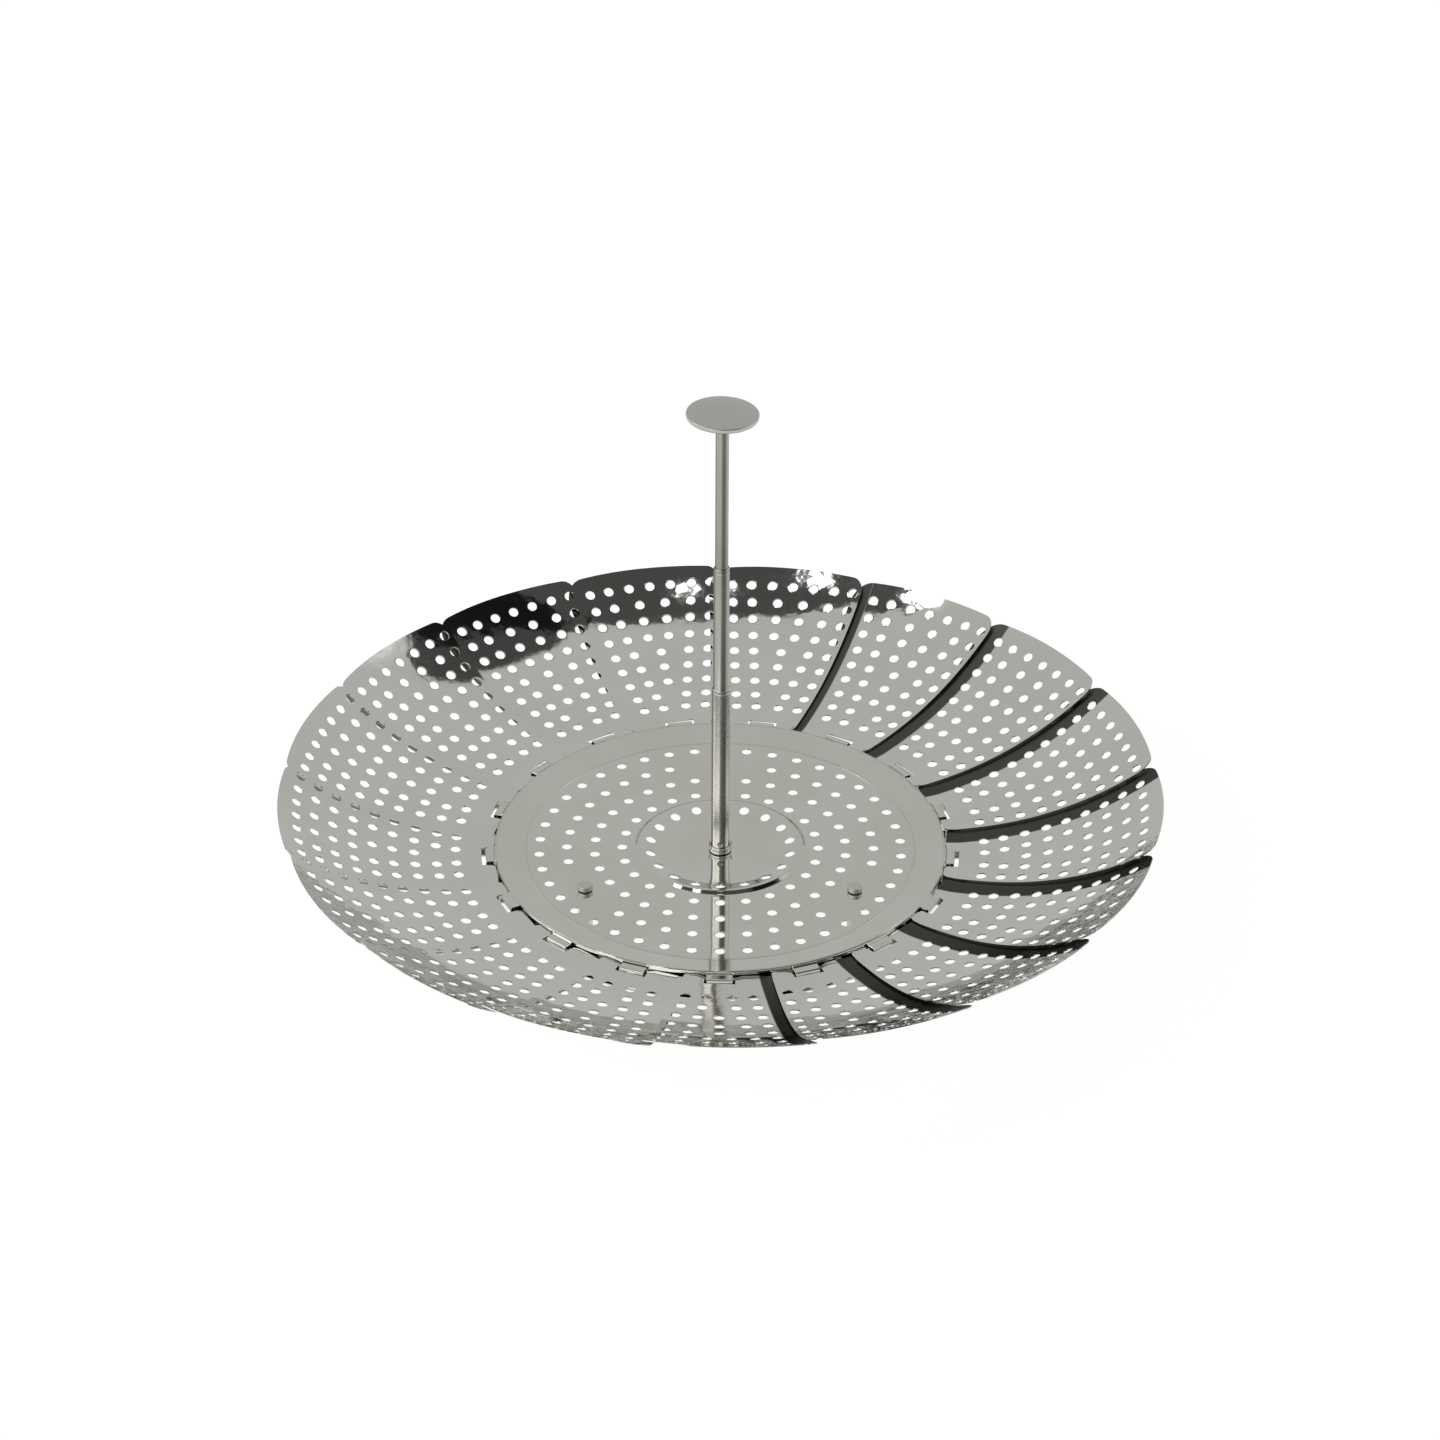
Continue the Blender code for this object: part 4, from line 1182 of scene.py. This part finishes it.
def make_pieces():
    # The last, dark colour of plate and leaf is painted shade, on a leaf's strip and in part on cut edges
    plate = steel("plate_steel", ((0.60, 0.60, 0.57), (0.575, 0.575, 0.54)), (0.035, 0.08),
                  [(0.014, 0.00003), (0.0025, 0.000001)], dull_and_shade_colour=(0.14, 0.14, 0.13))
    leaf = steel("leaf_steel", ((0.62, 0.62, 0.60), (0.59, 0.59, 0.57)), (0.045, 0.095),
                 [(0.035, 0.0005), (0.012, 0.00009), (0.004, 0.000025)],
                 ripple=(0.112, 0.126, 0.0065, 0.00032), dull_and_shade_colour=(0.09, 0.09, 0.085))
    # The band colours of the tubes are painted reflection
    post = steel("post_steel", ((0.70, 0.69, 0.65), (0.67, 0.66, 0.62)), (0.25, 0.26), [],
                 painted_band_colour=(0.30, 0.295, 0.265))
    middle = steel("middle_tube_steel", ((0.50, 0.495, 0.455), (0.48, 0.475, 0.435)), (0.30, 0.35), [],
                   painted_band_colour=(0.17, 0.168, 0.145))
    satin = steel("satin_tube_steel", ((0.45, 0.45, 0.41), (0.43, 0.43, 0.39)), (0.34, 0.40), [],
                  painted_band_colour=(0.20, 0.20, 0.175))
    knob = steel("satin_knob_steel", ((0.50, 0.50, 0.48), (0.48, 0.48, 0.46)), (0.30, 0.38),
                 [(0.0012, 0.000003)])
    feet = steel("peg_steel", ((0.60, 0.60, 0.58), (0.54, 0.54, 0.52)), (0.42, 0.52), [(0.0012, 0.000006)])
    fastener = steel("fixing_steel", ((0.56, 0.56, 0.54), (0.52, 0.52, 0.50)), (0.16, 0.26),
                     [(0.002, 0.000004)])
    make_base_plate(plate)
    make_seat_ring(plate)
    make_leaves(leaf)
    make_lower_tube(post)
    make_middle_tube(middle)
    make_upper_tube(satin)
    make_knob(knob)
    make_post_plug(fastener)
    make_post_washer(fastener)
    make_post_screw(fastener)
    make_lock_ring(fastener)
    make_feet(feet)


# Stage, light and camera

FLOOR_SIZE = 6
FLOOR_COLOUR = 0.80
FLOOR_OWN_LIGHT = 0.90
FLOOR_SHADOW_COLOUR = 0.18

# Studio: how light it is behind, above and in front, and along which depths these meet
ROOM_BACK = 0.66
ROOM_TOP = 0.09
ROOM_FRONT = 0.48
BACK_BORDER = (0.062, 0.078)
BACK_BORDER_SLANT = -0.15
BACK_BORDER_WOBBLE = 0.14
FRONT_BORDER = (-0.66, -0.50)

# Studio: two softboxes, with the degrees up and round the front between which each fades, and its strength
SOFTBOX_HEIGHTS = (8, 20, 38, 50)
SOFTBOXES = [((-112, -96, -18, -6), 1.9), ((52, 66, 104, 120), 1.1)]

# Studio: a round dark flag, how much light it takes away, and the degrees between which its edge fades
FLAG_DIRECTION = (0.45, 0.13, 0.88)
FLAG_DARKNESS = 0.88
FLAG_EDGE = (12.0, 13.5)

# Lamps: name, direction, diameter and how bright each looks in a mirror
LAMP_DISTANCE = 2.3
LAMPS = [
    ("top_lamp_left", (-0.27, -0.12, 0.955), 0.24, 5),
    ("top_lamp_far_left", (-0.48, 0.0, 0.88), 0.24, 6),
    ("overhead_lamp", (0.0, -0.08, 1.0), 0.14, 3.5),
]


def seen_directly(n):
    """1 for rays from the camera, from a mirror or through glass, else 0."""
    path = n.add("ShaderNodeLightPath")
    either = n.math("MAXIMUM", path.outputs["Is Camera Ray"], path.outputs["Is Glossy Ray"])
    return n.math("MAXIMUM", either, path.outputs["Is Transmission Ray"])


def make_floor():
    """A pale floor, which shows white to the camera and in the steel, and keeps the object's shadow."""
    bm = bmesh.new()
    bmesh.ops.create_grid(bm, x_segments=8, y_segments=8, size=FLOOR_SIZE)
    material, n = new_material("pale_floor")
    n.tree.nodes.remove(n.tree.nodes["Principled BSDF"])
    matt, shadow = (n.add("ShaderNodeBsdfDiffuse", {"Color": (grey, grey, grey, 1)}).outputs[0]
                    for grey in (FLOOR_COLOUR, FLOOR_SHADOW_COLOUR))
    own = n.add("ShaderNodeEmission", {"Strength": FLOOR_OWN_LIGHT}).outputs[0]
    white = n.add("ShaderNodeAddShader", {0: shadow, 1: own}).outputs[0]
    mix = n.add("ShaderNodeMixShader", {0: seen_directly(n), 1: matt, 2: white}).outputs[0]
    n.fill(n.tree.nodes["Material Output"], {"Surface": mix})
    new_piece("floor", bm, material)


def patch(n, direction, towards, inner, outer):
    """1 within inner degrees of a direction, falling to 0 at outer degrees."""
    inputs = {0: direction, 1: Vector(towards).normalized()}
    dot = n.add("ShaderNodeVectorMath", inputs, operation="DOT_PRODUCT").outputs["Value"]
    return n.span(dot, cos(radians(outer)), cos(radians(inner)))


def window(n, value, start, full, last, end):
    """0 up to start, 1 from full to last, and 0 again from end on."""
    return n.times(n.span(value, start, full), n.span(value, last, end, 1, 0))


def make_world():
    """What the steel mirrors: light behind, dark above, grey in front, two softboxes and a flag."""
    world = bpy.data.worlds.new("studio")
    bpy.context.scene.world = world
    world.use_nodes = True
    n = Nodes(world.node_tree)
    direction = n.add("ShaderNodeTexCoord").outputs["Generated"]
    x, y, z = n.axes(direction)
    wobble = n.math("SUBTRACT", n.noise(direction, 6, 5, 0.6), 0.5)
    depth = n.math("ADD", y, n.times(x, BACK_BORDER_SLANT))
    depth = n.math("ADD", depth, n.times(wobble, BACK_BORDER_WOBBLE))
    back = n.span(depth, *BACK_BORDER, ROOM_TOP, ROOM_BACK)
    front = n.span(y, *FRONT_BORDER, ROOM_FRONT, ROOM_TOP)
    strength = n.math("MAXIMUM", back, front)
    turn = n.times(n.math("ARCTAN2", x, n.times(y, -1)), degrees(1))
    height = n.times(n.math("ARCSINE", z), degrees(1))
    tall = window(n, height, *SOFTBOX_HEIGHTS)
    for sides, brightness in SOFTBOXES:
        light = n.times(window(n, turn, *sides), n.times(tall, brightness))
        strength = n.math("ADD", strength, light)
    flag = n.times(patch(n, direction, FLAG_DIRECTION, *FLAG_EDGE), FLAG_DARKNESS)
    strength = n.times(strength, n.math("SUBTRACT", 1, flag))
    n.fill(n.tree.nodes["Background"], {"Color": (1.0, 0.995, 0.965, 1), "Strength": strength})


def make_lamps():
    """Round lamps that face the object."""
    for name, direction, diameter, radiance in LAMPS:
        light = bpy.data.lights.new(name, "AREA")
        light.shape = "DISK"
        light.size = diameter
        light.energy = radiance * pi * pi * diameter ** 2 / 4
        lamp = add_object(name, light)
        lamp.location = Vector(direction).normalized() * LAMP_DISTANCE
        lamp.rotation_euler = (-lamp.location).to_track_quat("-Z", "Y").to_euler()


def make_camera():
    """The photograph's view: straight from the front, a little over 33 degrees down."""
    elevation = radians(33.6483)
    roll = radians(0.30)
    distance = 1.313997
    lens_pixels = 4202.01
    frame_pixels = 1440
    centre_pixels = Vector((720.215, 847.09))
    back = Vector((0, -cos(elevation), sin(elevation)))
    level = Vector((1, 0, 0))
    raised = back.cross(level)
    across = cos(roll) * level + sin(roll) * raised
    up = -sin(roll) * level + cos(roll) * raised
    camera = bpy.data.cameras.new("camera")
    camera.sensor_width = 36
    camera.lens = lens_pixels / frame_pixels * camera.sensor_width
    camera.shift_x = (frame_pixels / 2 - centre_pixels.x) / frame_pixels
    camera.shift_y = (centre_pixels.y - frame_pixels / 2) / frame_pixels
    camera.clip_start = 0.05
    camera.clip_end = 20
    obj = add_object("camera", camera)
    turn = Matrix((across, up, back)).transposed().to_4x4()
    obj.matrix_world = Matrix.Translation(Vector((0, 0, PLATE_LEVEL)) + back * distance) @ turn
    bpy.context.scene.camera = obj


make_pieces()
make_floor()
make_world()
make_lamps()
make_camera()
bpy.context.scene.view_settings.view_transform = "Standard"
